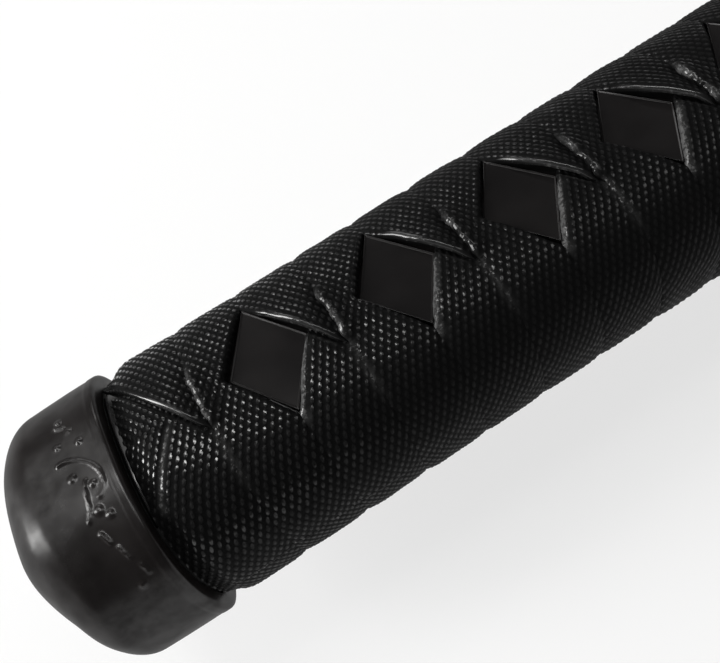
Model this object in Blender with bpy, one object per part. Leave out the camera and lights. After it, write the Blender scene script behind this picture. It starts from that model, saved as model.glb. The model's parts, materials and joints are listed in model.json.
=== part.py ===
"""Sword-pattern practice bat with a criss-cross taped grip, lying on its side.

The grip runs along +X from the flat of its butt at the origin. The two broad sides of the grip,
where the tape leaves its diamond windows, face +Z and -Z. The striking bar bends towards +Y.
"""
import math

import bmesh
import bpy
from mathutils import Vector

MM = 0.001

# Fits
CLEARANCE = 0.3 * MM
TAPE_GAP = 0.45 * MM

# Grip core and the smooth panels let into its broad sides
CORE_HALF_WIDTH = 17.2 * MM
CORE_HALF_HEIGHT = 13.6 * MM
CORE_SQUARENESS = 2.5
PANEL_HALF_ARC = 11.5 * MM
PANEL_THICKNESS = 1.2 * MM

# Grip tapes
TAPE_WIDTH = 10.5 * MM
TAPE_THICKNESS = 1.4 * MM
FOLD_THICKNESS = 2.1 * MM
PINCH_THICKNESS = 1.0 * MM
PINCH_WIDTH = 5.2 * MM
PINCH_LENGTH = 6.4 * MM
FOLD_RAMP = 2.2 * MM
TAPE_ROUNDING = 1.3 * MM
WINDOW_LENGTH = 12.9 * MM
WINDOW_HEIGHT = 19.0 * MM
WINDOW_COUNT = 10
FIRST_WINDOW = 23.3 * MM

# Butt cap
CAP_LENGTH = 20.0 * MM
CAP_FLOOR = 6.5 * MM
CAP_PROUD = 1.0 * MM
CAP_TAPER = 0.3 * MM
CAP_DOME = 9.7 * MM
CAP_DOME_POWER = 2.0
CAP_FLAT_HALF_WIDTH = 7.0 * MM

# Grip collar, guard and its two washers
COLLAR_LENGTH = 11.0 * MM
COLLAR_PROUD = 0.6 * MM
COLLAR_PLATE = 1.6 * MM
COLLAR_EDGE = 0.8 * MM
WASHER_THICKNESS = 1.4 * MM
WASHER_HALF_WIDTH = 20.5 * MM
WASHER_HALF_HEIGHT = 16.5 * MM
GUARD_HALF_WIDTH = 38.0 * MM
GUARD_HALF_HEIGHT = 36.0 * MM
GUARD_SQUARENESS = 4.0
GUARD_WEB = 4.6 * MM
GUARD_RIM_WIDTH = 4.5 * MM
GUARD_RIM_RISE = 1.0 * MM

# Striking bar, its tang and the collar at its root
BAR_LENGTH = 710.0 * MM
BAR_RISE = 32.0 * MM
BAR_ROOT_WIDTH = 30.0 * MM
BAR_TIP_WIDTH = 24.0 * MM
BAR_ROOT_THICKNESS = 15.0 * MM
BAR_TIP_THICKNESS = 12.0 * MM
TIP_LENGTH = 42.0 * MM
TANG_LENGTH = 185.0 * MM
TANG_WIDTH = 20.0 * MM
TANG_THICKNESS = 8.0 * MM
ROOT_COLLAR_LENGTH = 26.0 * MM
ROOT_COLLAR_WALL = 1.8 * MM

# Cross pegs
PEG_DIAMETER = 5.0 * MM
PEG_INSET = 0.3 * MM
FRONT_PEG_WINDOW = 8
REAR_PEG_WINDOW = 5

# Facets
OUTLINE_STEPS = 2000
EDGE_STEPS = 4
DOME_STEPS = 8
GUARD_POINTS = 48
BAR_STEPS = 12
TIP_STEPS = 6
PEG_SIDES = 16

# Places along the grip
TAPE_LIFT = CLEARANCE
PITCH = 2 * TAPE_WIDTH
WRAP_TOP = TAPE_LIFT + TAPE_THICKNESS
FIRST_CROSSING = CAP_LENGTH + FIRST_WINDOW - TAPE_WIDTH
LAST_CROSSING = 2 * WINDOW_COUNT
COLLAR_START = FIRST_CROSSING + WINDOW_COUNT * PITCH + FIRST_WINDOW - TAPE_WIDTH
COLLAR_END = COLLAR_START + COLLAR_LENGTH
REAR_WASHER = COLLAR_END + CLEARANCE
GUARD_START = REAR_WASHER + WASHER_THICKNESS + CLEARANCE
FRONT_WASHER = GUARD_START + GUARD_WEB + CLEARANCE
BAR_START = FRONT_WASHER + WASHER_THICKNESS + CLEARANCE
TANG_END = BAR_START - TANG_LENGTH

BLACK_RUBBER = ((0.012, 0.012, 0.012, 1.0), 0.55, 0.0)
BLACK_TAPE = ((0.010, 0.010, 0.010, 1.0), 0.48, 0.0)
BLACK_PANEL = ((0.011, 0.011, 0.012, 1.0), 0.28, 0.0)
BLACK_CAP = ((0.014, 0.013, 0.013, 1.0), 0.34, 0.0)
BLACK_BAR = ((0.013, 0.013, 0.014, 1.0), 0.42, 0.0)
BLACK_METAL = ((0.020, 0.020, 0.021, 1.0), 0.36, 0.6)
DARK_NYLON = ((0.016, 0.014, 0.013, 1.0), 0.50, 0.0)


class Outline:
    """An oval in the YZ plane that is walked by arc length.

    The arc starts on +Z and runs towards -Y, so -Y is a quarter of the way round.
    """

    def __init__(self, half_width, half_height, power):
        self.points = []
        for i in range(OUTLINE_STEPS + 1):
            self.points.append(superellipse(half_width, half_height, power, math.tau * i / OUTLINE_STEPS))
        self.arcs = [0.0]
        for a, b in zip(self.points, self.points[1:]):
            self.arcs.append(self.arcs[-1] + math.dist(a, b))
        self.length = self.arcs[-1]

    def at(self, arc, lift=0.0):
        """The point at an arc length, raised off the oval along its normal."""
        arc %= self.length
        low, high = 0, OUTLINE_STEPS
        while high - low > 1:
            middle = (low + high) // 2
            if self.arcs[middle] <= arc:
                low = middle
            else:
                high = middle
        (y0, z0), (y1, z1) = self.points[low], self.points[high]
        step = self.arcs[high] - self.arcs[low]
        share = (arc - self.arcs[low]) / step
        normal_y, normal_z = (z1 - z0) / step, (y0 - y1) / step
        return y0 + share * (y1 - y0) + lift * normal_y, z0 + share * (z1 - z0) + lift * normal_z


def superellipse(half_width, half_height, power, angle):
    """A point of an oval, starting on +Z and turning towards -Y."""
    sine, cosine = math.sin(angle), math.cos(angle)
    y = -half_width * math.copysign(abs(sine) ** (2 / power), sine)
    z = half_height * math.copysign(abs(cosine) ** (2 / power), cosine)
    return y, z


def lerp(a, b, share):
    """The value part of the way from a to b, held between them."""
    return a + (b - a) * min(max(share, 0.0), 1.0)


def clear_scene():
    """Remove every object of the scene."""
    for thing in list(bpy.data.objects):
        bpy.data.objects.remove(thing, do_unlink=True)


def new_collection(name):
    """Add a collection to the scene."""
    collection = bpy.data.collections.new(name)
    bpy.context.scene.collection.children.link(collection)
    return collection


def material(name, finish):
    """A Principled material from a colour, a roughness and a metallic value."""
    colour, roughness, metallic = finish
    surface = bpy.data.materials.new(name)
    surface.use_nodes = True
    shader = surface.node_tree.nodes["Principled BSDF"]
    shader.inputs["Base Color"].default_value = colour
    shader.inputs["Roughness"].default_value = roughness
    shader.inputs["Metallic"].default_value = metallic
    return surface


def loft(name, rings, collection, finish=None):
    """Join equal rings of points into one closed body, with a flat end on its first and last ring."""
    form = bmesh.new()
    loops = [[form.verts.new(point) for point in ring] for ring in rings]
    for near, far in zip(loops, loops[1:]):
        for i in range(len(near)):
            j = (i + 1) % len(near)
            form.faces.new((near[i], near[j], far[j], far[i]))
    form.faces.new(loops[0])
    form.faces.new(loops[-1])
    bmesh.ops.recalc_face_normals(form, faces=form.faces)
    mesh = bpy.data.meshes.new(name)
    form.to_mesh(mesh)
    form.free()
    mesh.shade_smooth()
    mesh.set_sharp_from_angle(angle=math.radians(35))
    piece = bpy.data.objects.new(name, mesh)
    collection.objects.link(piece)
    if finish:
        mesh.materials.append(material(name, finish))
    return piece


def adopt(piece, name, collection, finish=None):
    """Name a new primitive and move it from the scene to its own collection."""
    piece.name = name
    piece.data.name = name
    for owner in list(piece.users_collection):
        owner.objects.unlink(piece)
    collection.objects.link(piece)
    if finish:
        piece.data.materials.append(material(name, finish))
    return piece


def as_cutter(piece):
    """Mark a body as a tool that only cuts."""
    piece.hide_render = True
    piece.display_type = "WIRE"
    return piece


def cut(piece, *cutters):
    """Take cutters out of a piece."""
    for cutter in cutters:
        boolean = piece.modifiers.new(cutter.name, "BOOLEAN")
        boolean.operation = "DIFFERENCE"
        boolean.solver = "EXACT"
        boolean.object = cutter


CORE = Outline(CORE_HALF_WIDTH, CORE_HALF_HEIGHT, CORE_SQUARENESS)
HALF_TURN = CORE.length / 2
QUARTER = CORE.length / 4
PINCH_REACH = PINCH_LENGTH / 2
RAMP_REACH = PINCH_REACH + FOLD_RAMP
WINDOW_REACH = WINDOW_HEIGHT / 2


def quarter_stations():
    """Arc lengths from a crossing to the grip's edge where the tape's section changes."""
    stations = [0.0, PINCH_REACH / 2, PINCH_REACH, RAMP_REACH, WINDOW_REACH]
    run = QUARTER - WINDOW_REACH
    return stations + [WINDOW_REACH + run * (i + 1) / EDGE_STEPS for i in range(EDGE_STEPS)]


def turn_stations():
    """Arc lengths of the facets once round the grip, shared by the core and the tapes."""
    quarter = quarter_stations()
    half = [-arc for arc in reversed(quarter[1:])] + quarter[:-1]
    return [arc + half_turn for half_turn in (0.0, HALF_TURN) for arc in half]


def fine_stations():
    """The turn's stations with one more halfway between each two."""
    stations = turn_stations()
    ends = stations[1:] + [stations[0] + CORE.length]
    return [arc for a, b in zip(stations, ends) for arc in (a, (a + b) / 2)]


def core_ring(x, lift, stations, scale=1.0):
    """A ring round the grip, raised off the core and drawn in towards the axis."""
    ring = []
    for arc in stations:
        y, z = CORE.at(arc, lift)
        ring.append(Vector((x, y * scale, z * scale)))
    return ring


def oval_ring(x, half_width, half_height, power, count):
    """A ring of evenly turned points on an oval, with a flat facet on each of its four sides."""
    ring = []
    for i in range(count):
        y, z = superellipse(half_width, half_height, power, math.tau * (i + 0.5) / count)
        ring.append(Vector((x, y, z)))
    return ring


def window_centre(index):
    """Place along the grip of a window on the +Z side, counted from the butt."""
    return CAP_LENGTH + FIRST_WINDOW + index * PITCH


def make_cap(parts):
    """Cup over the butt end: a domed end with a small flat, tapered sides and a bore for the core."""
    stations = fine_stations()
    lift = WRAP_TOP + CAP_PROUD
    rim_half_width = CORE_HALF_WIDTH + lift
    start = math.asin((CAP_FLAT_HALF_WIDTH / (rim_half_width - CAP_TAPER)) ** (CAP_DOME_POWER / 2))
    dome_offset = CAP_DOME * (1 - math.cos(start) ** (2 / CAP_DOME_POWER))
    shoulder = CAP_DOME - dome_offset
    drawn_in = 1 - CAP_TAPER / rim_half_width
    rings = []
    for i in range(DOME_STEPS + 1):
        angle = lerp(start, math.pi / 2, i / DOME_STEPS)
        x = CAP_DOME * (1 - max(math.cos(angle), 0.0) ** (2 / CAP_DOME_POWER)) - dome_offset
        rings.append(core_ring(x, lift, stations, drawn_in * math.sin(angle) ** (2 / CAP_DOME_POWER)))
    rings.append(core_ring(lerp(shoulder, CAP_LENGTH, 0.6), lift, stations, lerp(drawn_in, 1.0, 0.75)))
    rings.append(core_ring(CAP_LENGTH, lift, stations))
    rings.append(core_ring(CAP_LENGTH, CLEARANCE, stations))
    rings.append(core_ring(CAP_FLOOR, CLEARANCE, stations))
    return loft("butt_cap", rings, parts, BLACK_CAP)


def half_core_ring(x, side):
    """Outline of one half of the core, closed along the split between the halves."""
    half = [arc for arc in turn_stations() if abs(arc) < QUARTER]
    ring = []
    for arc in half:
        y, z = CORE.at(arc)
        ring.append(Vector((x, y, side * z)))
    split = side * CLEARANCE / 2
    edge = CORE_HALF_WIDTH
    return [Vector((x, edge, split))] + ring + [Vector((x, -edge, split))]


def make_core_half(name, side, parts, cutters):
    """One half of the grip core, with the tang's slot, the peg holes and the recess for its panel."""
    start = CAP_FLOOR + CLEARANCE
    end = COLLAR_END - COLLAR_PLATE - CLEARANCE
    half = loft(name, [half_core_ring(start, side), half_core_ring(end, side)], parts, BLACK_RUBBER)
    cut(half, *cutters)
    return half


def panel_rings(side, half_arc, top, bottom, start, end):
    """Two rings of a strip that lies along a broad side of the core."""
    inner = [arc for arc in turn_stations() if abs(arc) < half_arc]
    arcs = [-half_arc] + inner + [half_arc]
    rings = []
    for x in (start, end):
        outside = [CORE.at(arc, top) for arc in arcs]
        inside = [CORE.at(arc, bottom) for arc in reversed(arcs)]
        rings.append([Vector((x, y, side * z)) for y, z in outside + inside])
    return rings


def make_panel(name, side, parts, cutters):
    """Smooth panel let into one broad side, flush with the core, seen through the windows."""
    start, end = CAP_LENGTH + CLEARANCE, COLLAR_START - CLEARANCE
    rings = panel_rings(side, PANEL_HALF_ARC, 0.0, -PANEL_THICKNESS, start, end)
    panel = loft(name, rings, parts, BLACK_PANEL)
    cut(panel, *cutters)
    return panel


def make_panel_recess(name, side, tools):
    """Cutter for a panel's recess, open to the outside."""
    depth = PANEL_THICKNESS + CLEARANCE
    rings = panel_rings(side, PANEL_HALF_ARC + CLEARANCE, depth, -depth, CAP_LENGTH, COLLAR_START)
    return as_cutter(loft(name, rings, tools))


def tape_reach(q, end_reach=None):
    """How far a tape reaches past the crossing line, at an arc q beyond the crossing.

    Before the crossing the tape stops short of the line. At the crossing it is pinched, and beyond
    it the tape spreads along the window's edge to its full width. A run with an end_reach has no
    window beside it and reaches that far.
    """
    short = -TAPE_GAP / 2
    if q <= -PINCH_REACH:
        return short
    if end_reach is not None:
        return lerp(short, end_reach, 1 + q / PINCH_REACH)
    if q <= 0:
        return lerp(short, PINCH_WIDTH / 2, 1 + q / PINCH_REACH)
    arc = max(q, PINCH_REACH)
    spread = TAPE_WIDTH + short - WINDOW_LENGTH / 2 * max(0.0, 1 - arc / WINDOW_REACH)
    return lerp(PINCH_WIDTH / 2, spread, q / PINCH_REACH)


def tape_span(crossing, q):
    """Both edges of a tape along the grip, at an arc q from one of its crossings."""
    x = FIRST_CROSSING + crossing * TAPE_WIDTH
    start, end = CAP_LENGTH + CLEARANCE, COLLAR_START - CLEARANCE
    left = x - tape_reach(-q, x - start if crossing == 0 else None)
    right = x + tape_reach(q, end - x if crossing == LAST_CROSSING else None)
    if crossing < 0:
        left = start
    if crossing > LAST_CROSSING:
        right = end
    return left, right


def tape_lifts(q, over):
    """Height of a tape's under side and top above the core, at an arc q from a crossing."""
    arc = abs(q)
    under_top = TAPE_LIFT + PINCH_THICKNESS
    low = under_top + CLEARANCE + TAPE_GAP / 4 if over else TAPE_LIFT
    ramp = (arc - PINCH_REACH) / FOLD_RAMP
    bottom = lerp(low, TAPE_LIFT, ramp)
    folded = TAPE_LIFT + FOLD_THICKNESS
    if arc <= RAMP_REACH:
        return bottom, lerp(low + PINCH_THICKNESS, folded, ramp)
    flat = (arc - RAMP_REACH) / (WINDOW_REACH - RAMP_REACH)
    return bottom, lerp(folded, WRAP_TOP, flat)


def tape_ring(crossing, q, over):
    """Section of a tape: a flat under side and a top with rounded edges."""
    left, right = tape_span(crossing, q)
    bottom, top = tape_lifts(q, over)
    side = lerp(bottom, top, 0.55)
    rounding = min(TAPE_ROUNDING, (right - left) / 4)
    arc = crossing * HALF_TURN + q
    section = [(left, bottom), (right, bottom), (right, side),
               (right - rounding, top), (left + rounding, top), (left, side)]
    ring = []
    for x, lift in section:
        y, z = CORE.at(arc, lift)
        ring.append(Vector((x, y if over else -y, z)))
    return ring


def tape_path():
    """Crossings and arcs of a tape's stations, from the butt to the guard."""
    quarter = quarter_stations()
    half = [-arc for arc in reversed(quarter[1:])] + quarter[:-1]
    path = [(-1, TAPE_GAP)] + [(-1, q) for q in half if q > TAPE_GAP]
    path += [(crossing, q) for crossing in range(LAST_CROSSING + 1) for q in half]
    path += [(LAST_CROSSING + 1, q) for q in half if q < -TAPE_GAP]
    return path + [(LAST_CROSSING + 1, -TAPE_GAP)]


def least_gap(rings, skip):
    """Least distance between points of a tape that lie more than skip stations apart."""
    least = math.inf
    for i, ring in enumerate(rings):
        for other in rings[i + skip:i + 3 * skip]:
            for a in ring:
                for b in other:
                    least = min(least, (a - b).length_squared)
    return math.sqrt(least)


def make_tape(name, over, parts):
    """One unbroken tape wound along the grip, pinched where it crosses the other tape."""
    rings = [tape_ring(crossing, q, over) for crossing, q in tape_path()]
    print(f"{name}: least gap to itself {least_gap(rings, len(turn_stations()) // 2) / MM:.2f} mm")
    return loft(name, rings, parts, BLACK_TAPE)


def make_grip_collar(parts, tang_slot):
    """Sleeve round the front end of the core, closed by a plate that the tang passes through."""
    stations = fine_stations()
    lift = WRAP_TOP + COLLAR_PROUD
    plate = COLLAR_END - COLLAR_PLATE
    rings = [core_ring(plate, CLEARANCE, stations),
             core_ring(COLLAR_START, CLEARANCE, stations),
             core_ring(COLLAR_START, lift - COLLAR_EDGE, stations),
             core_ring(COLLAR_START + COLLAR_EDGE, lift, stations),
             core_ring(COLLAR_END - COLLAR_EDGE, lift, stations),
             core_ring(COLLAR_END, lift - COLLAR_EDGE, stations)]
    collar = loft("grip_collar", rings, parts, BLACK_METAL)
    cut(collar, tang_slot)


def make_washer(name, start, parts, tang_slot):
    """Thin oval plate between the guard and its neighbour."""
    rings = []
    for x in (start, start + WASHER_THICKNESS):
        rings.append(oval_ring(x, WASHER_HALF_WIDTH, WASHER_HALF_HEIGHT, CORE_SQUARENESS, GUARD_POINTS))
    cut(loft(name, rings, parts, BLACK_METAL), tang_slot)


def make_guard(parts, tang_slot):
    """Rounded square plate with a raised rim on both faces."""
    def ring(x, inset):
        return oval_ring(x, GUARD_HALF_WIDTH - inset, GUARD_HALF_HEIGHT - inset, GUARD_SQUARENESS, GUARD_POINTS)

    rear, front = GUARD_START, GUARD_START + GUARD_WEB
    slope = GUARD_RIM_WIDTH - 2 * GUARD_RIM_RISE
    rings = [ring(rear, GUARD_RIM_WIDTH),
             ring(rear - GUARD_RIM_RISE, slope),
             ring(rear - GUARD_RIM_RISE, GUARD_RIM_RISE),
             ring(rear, 0.0),
             ring(front, 0.0),
             ring(front + GUARD_RIM_RISE, GUARD_RIM_RISE),
             ring(front + GUARD_RIM_RISE, slope),
             ring(front, GUARD_RIM_WIDTH)]
    cut(loft("guard", rings, parts, BLACK_METAL), tang_slot)


# Shares of the bar's width and thickness from its back, over the ridge, to its blunt edge
BAR_SECTION = ((0.50, 0.0), (0.42, 0.30), (0.14, 0.50), (-0.28, 0.38), (-0.45, 0.20), (-0.50, 0.0))
TANG_SECTION = ((0.50, 0.0), (0.49, 0.44), (0.20, 0.50), (-0.20, 0.50), (-0.49, 0.44), (-0.50, 0.0))


def mirrored(section, width, thickness):
    """Close a half section over its mirror image, as points across the bar."""
    upper = [(y * width, z * thickness) for y, z in section]
    return upper + [(y, -z) for y, z in reversed(upper[1:-1])]


def widen(points, amount):
    """Move each side of a convex section outwards by an amount."""
    wide = []
    for i, (y, z) in enumerate(points):
        (y0, z0), (y1, z1) = points[i - 1], points[(i + 1) % len(points)]
        before = Vector((z - z0, y0 - y)).normalized()
        after = Vector((z1 - z, y - y1)).normalized()
        outward = (before + after) / (1 + before.dot(after))
        wide.append((y + amount * outward.x, z + amount * outward.y))
    return wide


def bar_bend(x):
    """How far the bar's middle has bent off the grip's axis."""
    run = max(x - BAR_START, 0.0)
    return BAR_RISE * (run / BAR_LENGTH) ** 2


def bar_size(x):
    """Width and thickness of the bar before its tip."""
    share = (x - BAR_START) / (BAR_LENGTH - TIP_LENGTH)
    width = lerp(BAR_ROOT_WIDTH, BAR_TIP_WIDTH, share)
    return width, lerp(BAR_ROOT_THICKNESS, BAR_TIP_THICKNESS, share)


def bar_ring(x, grow=0.0):
    """A ring of the bar, or of a sleeve that stands off it."""
    width, thickness = bar_size(x)
    section = widen(mirrored(BAR_SECTION, width, thickness), grow)
    return [Vector((x, y + bar_bend(x), z)) for y, z in section]


def tip_ring(share):
    """A ring of the tip, whose edge sweeps up to the straight back."""
    x = BAR_START + BAR_LENGTH - TIP_LENGTH * (1 - share)
    width, thickness = bar_size(x)
    left = math.sqrt(1 - share ** 2)
    section = mirrored(BAR_SECTION, width * left, thickness * lerp(left, 1.0, 0.35))
    rise = (1 - left) * width / 2
    return [Vector((x, y + bar_bend(x) + rise, z)) for y, z in section]


def make_bar(parts, peg_holes):
    """Blunt striking bar with a bent back, and the tang that carries it inside the grip."""
    tang = mirrored(TANG_SECTION, TANG_WIDTH, TANG_THICKNESS)
    rings = [[Vector((x, y, z)) for y, z in tang] for x in (TANG_END, BAR_START)]
    body_end = BAR_START + BAR_LENGTH - TIP_LENGTH
    rings += [bar_ring(lerp(BAR_START, body_end, i / BAR_STEPS)) for i in range(BAR_STEPS + 1)]
    rings += [tip_ring(math.sin(math.pi / 2 * (i + 1) / (TIP_STEPS + 1))) for i in range(TIP_STEPS)]
    cut(loft("striking_bar", rings, parts, BLACK_BAR), *peg_holes)


def make_root_collar(parts):
    """Sleeve round the root of the bar, against the front washer."""
    start, end = BAR_START, BAR_START + ROOT_COLLAR_LENGTH
    middle = (start + end) / 2
    outer = CLEARANCE + ROOT_COLLAR_WALL
    front = CLEARANCE + ROOT_COLLAR_WALL / 2
    rings = [bar_ring(start, outer), bar_ring(middle, outer), bar_ring(end, front)]
    return loft("bar_collar", rings, parts, BLACK_METAL)


def make_root_bore(tools):
    """Cutter for the bore of the sleeve round the bar's root."""
    past = ROOT_COLLAR_WALL
    places = (BAR_START - past, BAR_START + ROOT_COLLAR_LENGTH / 2, BAR_START + ROOT_COLLAR_LENGTH + past)
    return as_cutter(loft("root_bore", [bar_ring(x, CLEARANCE) for x in places], tools))


def make_tang_slot(tools):
    """Cutter for the slot that the tang runs in, from its end to in front of the guard."""
    start, end = TANG_END - CLEARANCE, BAR_START
    bpy.ops.mesh.primitive_cube_add(size=1.0, location=((start + end) / 2, 0.0, 0.0))
    slot = adopt(bpy.context.object, "tang_slot", tools)
    slot.scale = (end - start, TANG_WIDTH + 2 * CLEARANCE, TANG_THICKNESS + 2 * CLEARANCE)
    return as_cutter(slot)


def peg_body(name, x, diameter, length, collection, finish=None):
    """A round body that crosses the grip from one broad side to the other."""
    bpy.ops.mesh.primitive_cylinder_add(vertices=PEG_SIDES, radius=diameter / 2, depth=length,
                                        location=(x, 0.0, 0.0))
    return adopt(bpy.context.object, name, collection, finish)


def make_pegs(parts, tools):
    """The two cross pegs, and the cutters for their holes."""
    length = 2 * (CORE_HALF_HEIGHT - PEG_INSET)
    past = 2 * (CORE_HALF_HEIGHT + PANEL_THICKNESS)
    holes = []
    for name, window in (("front_peg", FRONT_PEG_WINDOW), ("rear_peg", REAR_PEG_WINDOW)):
        x = window_centre(window)
        peg_body(name, x, PEG_DIAMETER, length, parts, DARK_NYLON)
        hole = peg_body(name + "_hole", x, PEG_DIAMETER + 2 * CLEARANCE, past, tools)
        holes.append(as_cutter(hole))
    return holes


def main():
    """Build the bat from its butt to its tip."""
    clear_scene()
    parts = new_collection("practice_bat")
    tools = new_collection("cutters")
    peg_holes = make_pegs(parts, tools)
    tang_slot = make_tang_slot(tools)
    make_cap(parts)
    for side, label in ((1, "upper"), (-1, "lower")):
        recess = make_panel_recess(label + "_recess", side, tools)
        make_core_half("grip_core_" + label, side, parts, [tang_slot, recess] + peg_holes)
        make_panel("side_panel_" + label, side, parts, peg_holes)
    make_tape("under_tape", False, parts)
    make_tape("over_tape", True, parts)
    make_grip_collar(parts, tang_slot)
    make_washer("guard_washer_rear", REAR_WASHER, parts, tang_slot)
    make_guard(parts, tang_slot)
    make_washer("guard_washer_front", FRONT_WASHER, parts, tang_slot)
    cut(make_root_collar(parts), make_root_bore(tools))
    make_bar(parts, peg_holes)


main()
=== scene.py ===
"""Looks of a sword-pattern practice bat: woven grip tapes, worn butt cap, panels, guard and bar.

Lengths are in metres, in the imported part's own frame. The grip runs along +X from the flat of its
butt, its two broad sides face +Z and -Z, and the striking bar bends towards +Y.
"""
from __future__ import annotations

import json
import logging
import math
from dataclasses import dataclass
from enum import Enum
from typing import Iterable, Sequence

import bmesh
import bpy
import numpy as np
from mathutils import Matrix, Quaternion, Vector

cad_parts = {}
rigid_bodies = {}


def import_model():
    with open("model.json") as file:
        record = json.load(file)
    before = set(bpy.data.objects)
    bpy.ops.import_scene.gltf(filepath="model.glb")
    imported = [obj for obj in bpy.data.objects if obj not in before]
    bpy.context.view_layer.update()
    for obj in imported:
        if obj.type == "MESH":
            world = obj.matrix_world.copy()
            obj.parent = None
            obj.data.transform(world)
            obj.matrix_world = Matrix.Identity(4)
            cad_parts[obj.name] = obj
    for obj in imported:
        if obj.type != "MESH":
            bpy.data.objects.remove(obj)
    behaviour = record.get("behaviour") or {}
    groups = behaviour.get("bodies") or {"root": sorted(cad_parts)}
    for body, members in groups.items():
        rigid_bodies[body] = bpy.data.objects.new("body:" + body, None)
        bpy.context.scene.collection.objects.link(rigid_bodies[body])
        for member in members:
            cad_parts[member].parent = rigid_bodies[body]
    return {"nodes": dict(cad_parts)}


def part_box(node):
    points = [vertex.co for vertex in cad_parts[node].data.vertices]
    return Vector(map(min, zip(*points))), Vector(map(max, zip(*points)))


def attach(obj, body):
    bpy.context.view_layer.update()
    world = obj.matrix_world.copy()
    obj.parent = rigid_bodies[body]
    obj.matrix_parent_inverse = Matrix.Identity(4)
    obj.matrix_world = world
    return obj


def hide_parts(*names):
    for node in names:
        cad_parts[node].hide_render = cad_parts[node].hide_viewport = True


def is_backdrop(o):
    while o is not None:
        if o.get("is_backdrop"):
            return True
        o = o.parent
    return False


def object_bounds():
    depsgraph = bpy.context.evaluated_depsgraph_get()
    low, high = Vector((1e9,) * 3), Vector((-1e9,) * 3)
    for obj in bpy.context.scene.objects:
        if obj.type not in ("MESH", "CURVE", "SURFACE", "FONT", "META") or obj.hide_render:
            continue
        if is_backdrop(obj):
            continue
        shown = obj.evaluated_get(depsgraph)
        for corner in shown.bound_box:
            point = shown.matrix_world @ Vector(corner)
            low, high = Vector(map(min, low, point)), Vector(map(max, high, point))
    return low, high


MM = 0.001
BODY = "root"
GRAIN_SEED = 11
DOTS_IN_HALF_TURN = 28
# Largest share of a side that a rounded corner may take.
LONGEST_CURVE = 0.45
LOG = logging.getLogger("practice_bat")

Pair = tuple[float, float]
Triple = tuple[float, float, float]
Colour = tuple[float, float, float, float]
# Points of a tape by ring, and the numbers stored on them.
Stretch = tuple[np.ndarray, np.ndarray]


def grey(level: float) -> Colour:
    """A colour of equal red, green and blue."""
    return level, level, level, 1.0


def smooth(low: float, high: float, value: np.ndarray) -> np.ndarray:
    """Ease from 0 at low to 1 at high."""
    share = np.clip((value - low) / (high - low), 0.0, 1.0)
    return share * share * (3.0 - 2.0 * share)


def bell(distance: np.ndarray, reach: float) -> np.ndarray:
    """A bump of 1 at no distance, fading out over a reach."""
    return np.exp(-((distance / reach) ** 2))


def blend(low: np.ndarray | float, high: np.ndarray | float, share: np.ndarray) -> np.ndarray:
    """The value part of the way from low to high."""
    return low + (high - low) * share


def fillet(corners: Sequence[Sequence[float]], reach: float, closed: bool = False,
           steps: int = 6) -> tuple[np.ndarray, np.ndarray]:
    """Round the corners of a line.

    Args:
        corners: The line's corners.
        reach: How far before and after a corner its curve starts and ends, where the sides allow it.
        closed: Whether the line runs on from its last corner to its first.
        steps: Points on each curve.

    Returns:
        Points of the rounded line, and how far each is into a corner, from 0 to 1.
    """
    given = np.array(corners, dtype=float)
    share = np.linspace(0.0, 1.0, steps)[:, None]
    points, bends = [], []
    for i, here in enumerate(given):
        if not closed and i in (0, len(given) - 1):
            points.append(here[None])
            bends.append(np.zeros(1))
            continue
        ends = []
        for other in (given[i - 1], given[(i + 1) % len(given)]):
            side = other - here
            ends.append(here + side * min(reach / np.linalg.norm(side), LONGEST_CURVE))
        first, last = ends
        points.append((1 - share) ** 2 * first + 2 * share * (1 - share) * here + share ** 2 * last)
        bends.append((4 * share * (1 - share))[:, 0])
    return np.concatenate(points), np.concatenate(bends)


class Grain:
    """Smooth random field over a plane, the same on every run."""

    SIDE = 256

    def __init__(self, seed: int) -> None:
        """Draw the field's table.

        Args:
            seed: Number that fixes the field.
        """
        self.table = np.random.default_rng(seed).random((self.SIDE, self.SIDE)) * 2.0 - 1.0

    def at(self, across: np.ndarray, along: np.ndarray, size: float) -> np.ndarray:
        """Read the field.

        Args:
            across: First coordinate.
            along: Second coordinate.
            size: Distance between unlike values.

        Returns:
            Values from -1 to 1.
        """
        across, along = np.broadcast_arrays(np.asarray(across) / size, np.asarray(along) / size)
        column, row = np.floor(across).astype(int), np.floor(along).astype(int)
        right, up = smooth(0.0, 1.0, across - column), smooth(0.0, 1.0, along - row)

        def corner(step_column: int, step_row: int) -> np.ndarray:
            """Table value at a corner of the cell."""
            return self.table[(column + step_column) % self.SIDE, (row + step_row) % self.SIDE]

        near = blend(corner(0, 0), corner(1, 0), right)
        far = blend(corner(0, 1), corner(1, 1), right)
        return blend(near, far, up)


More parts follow.
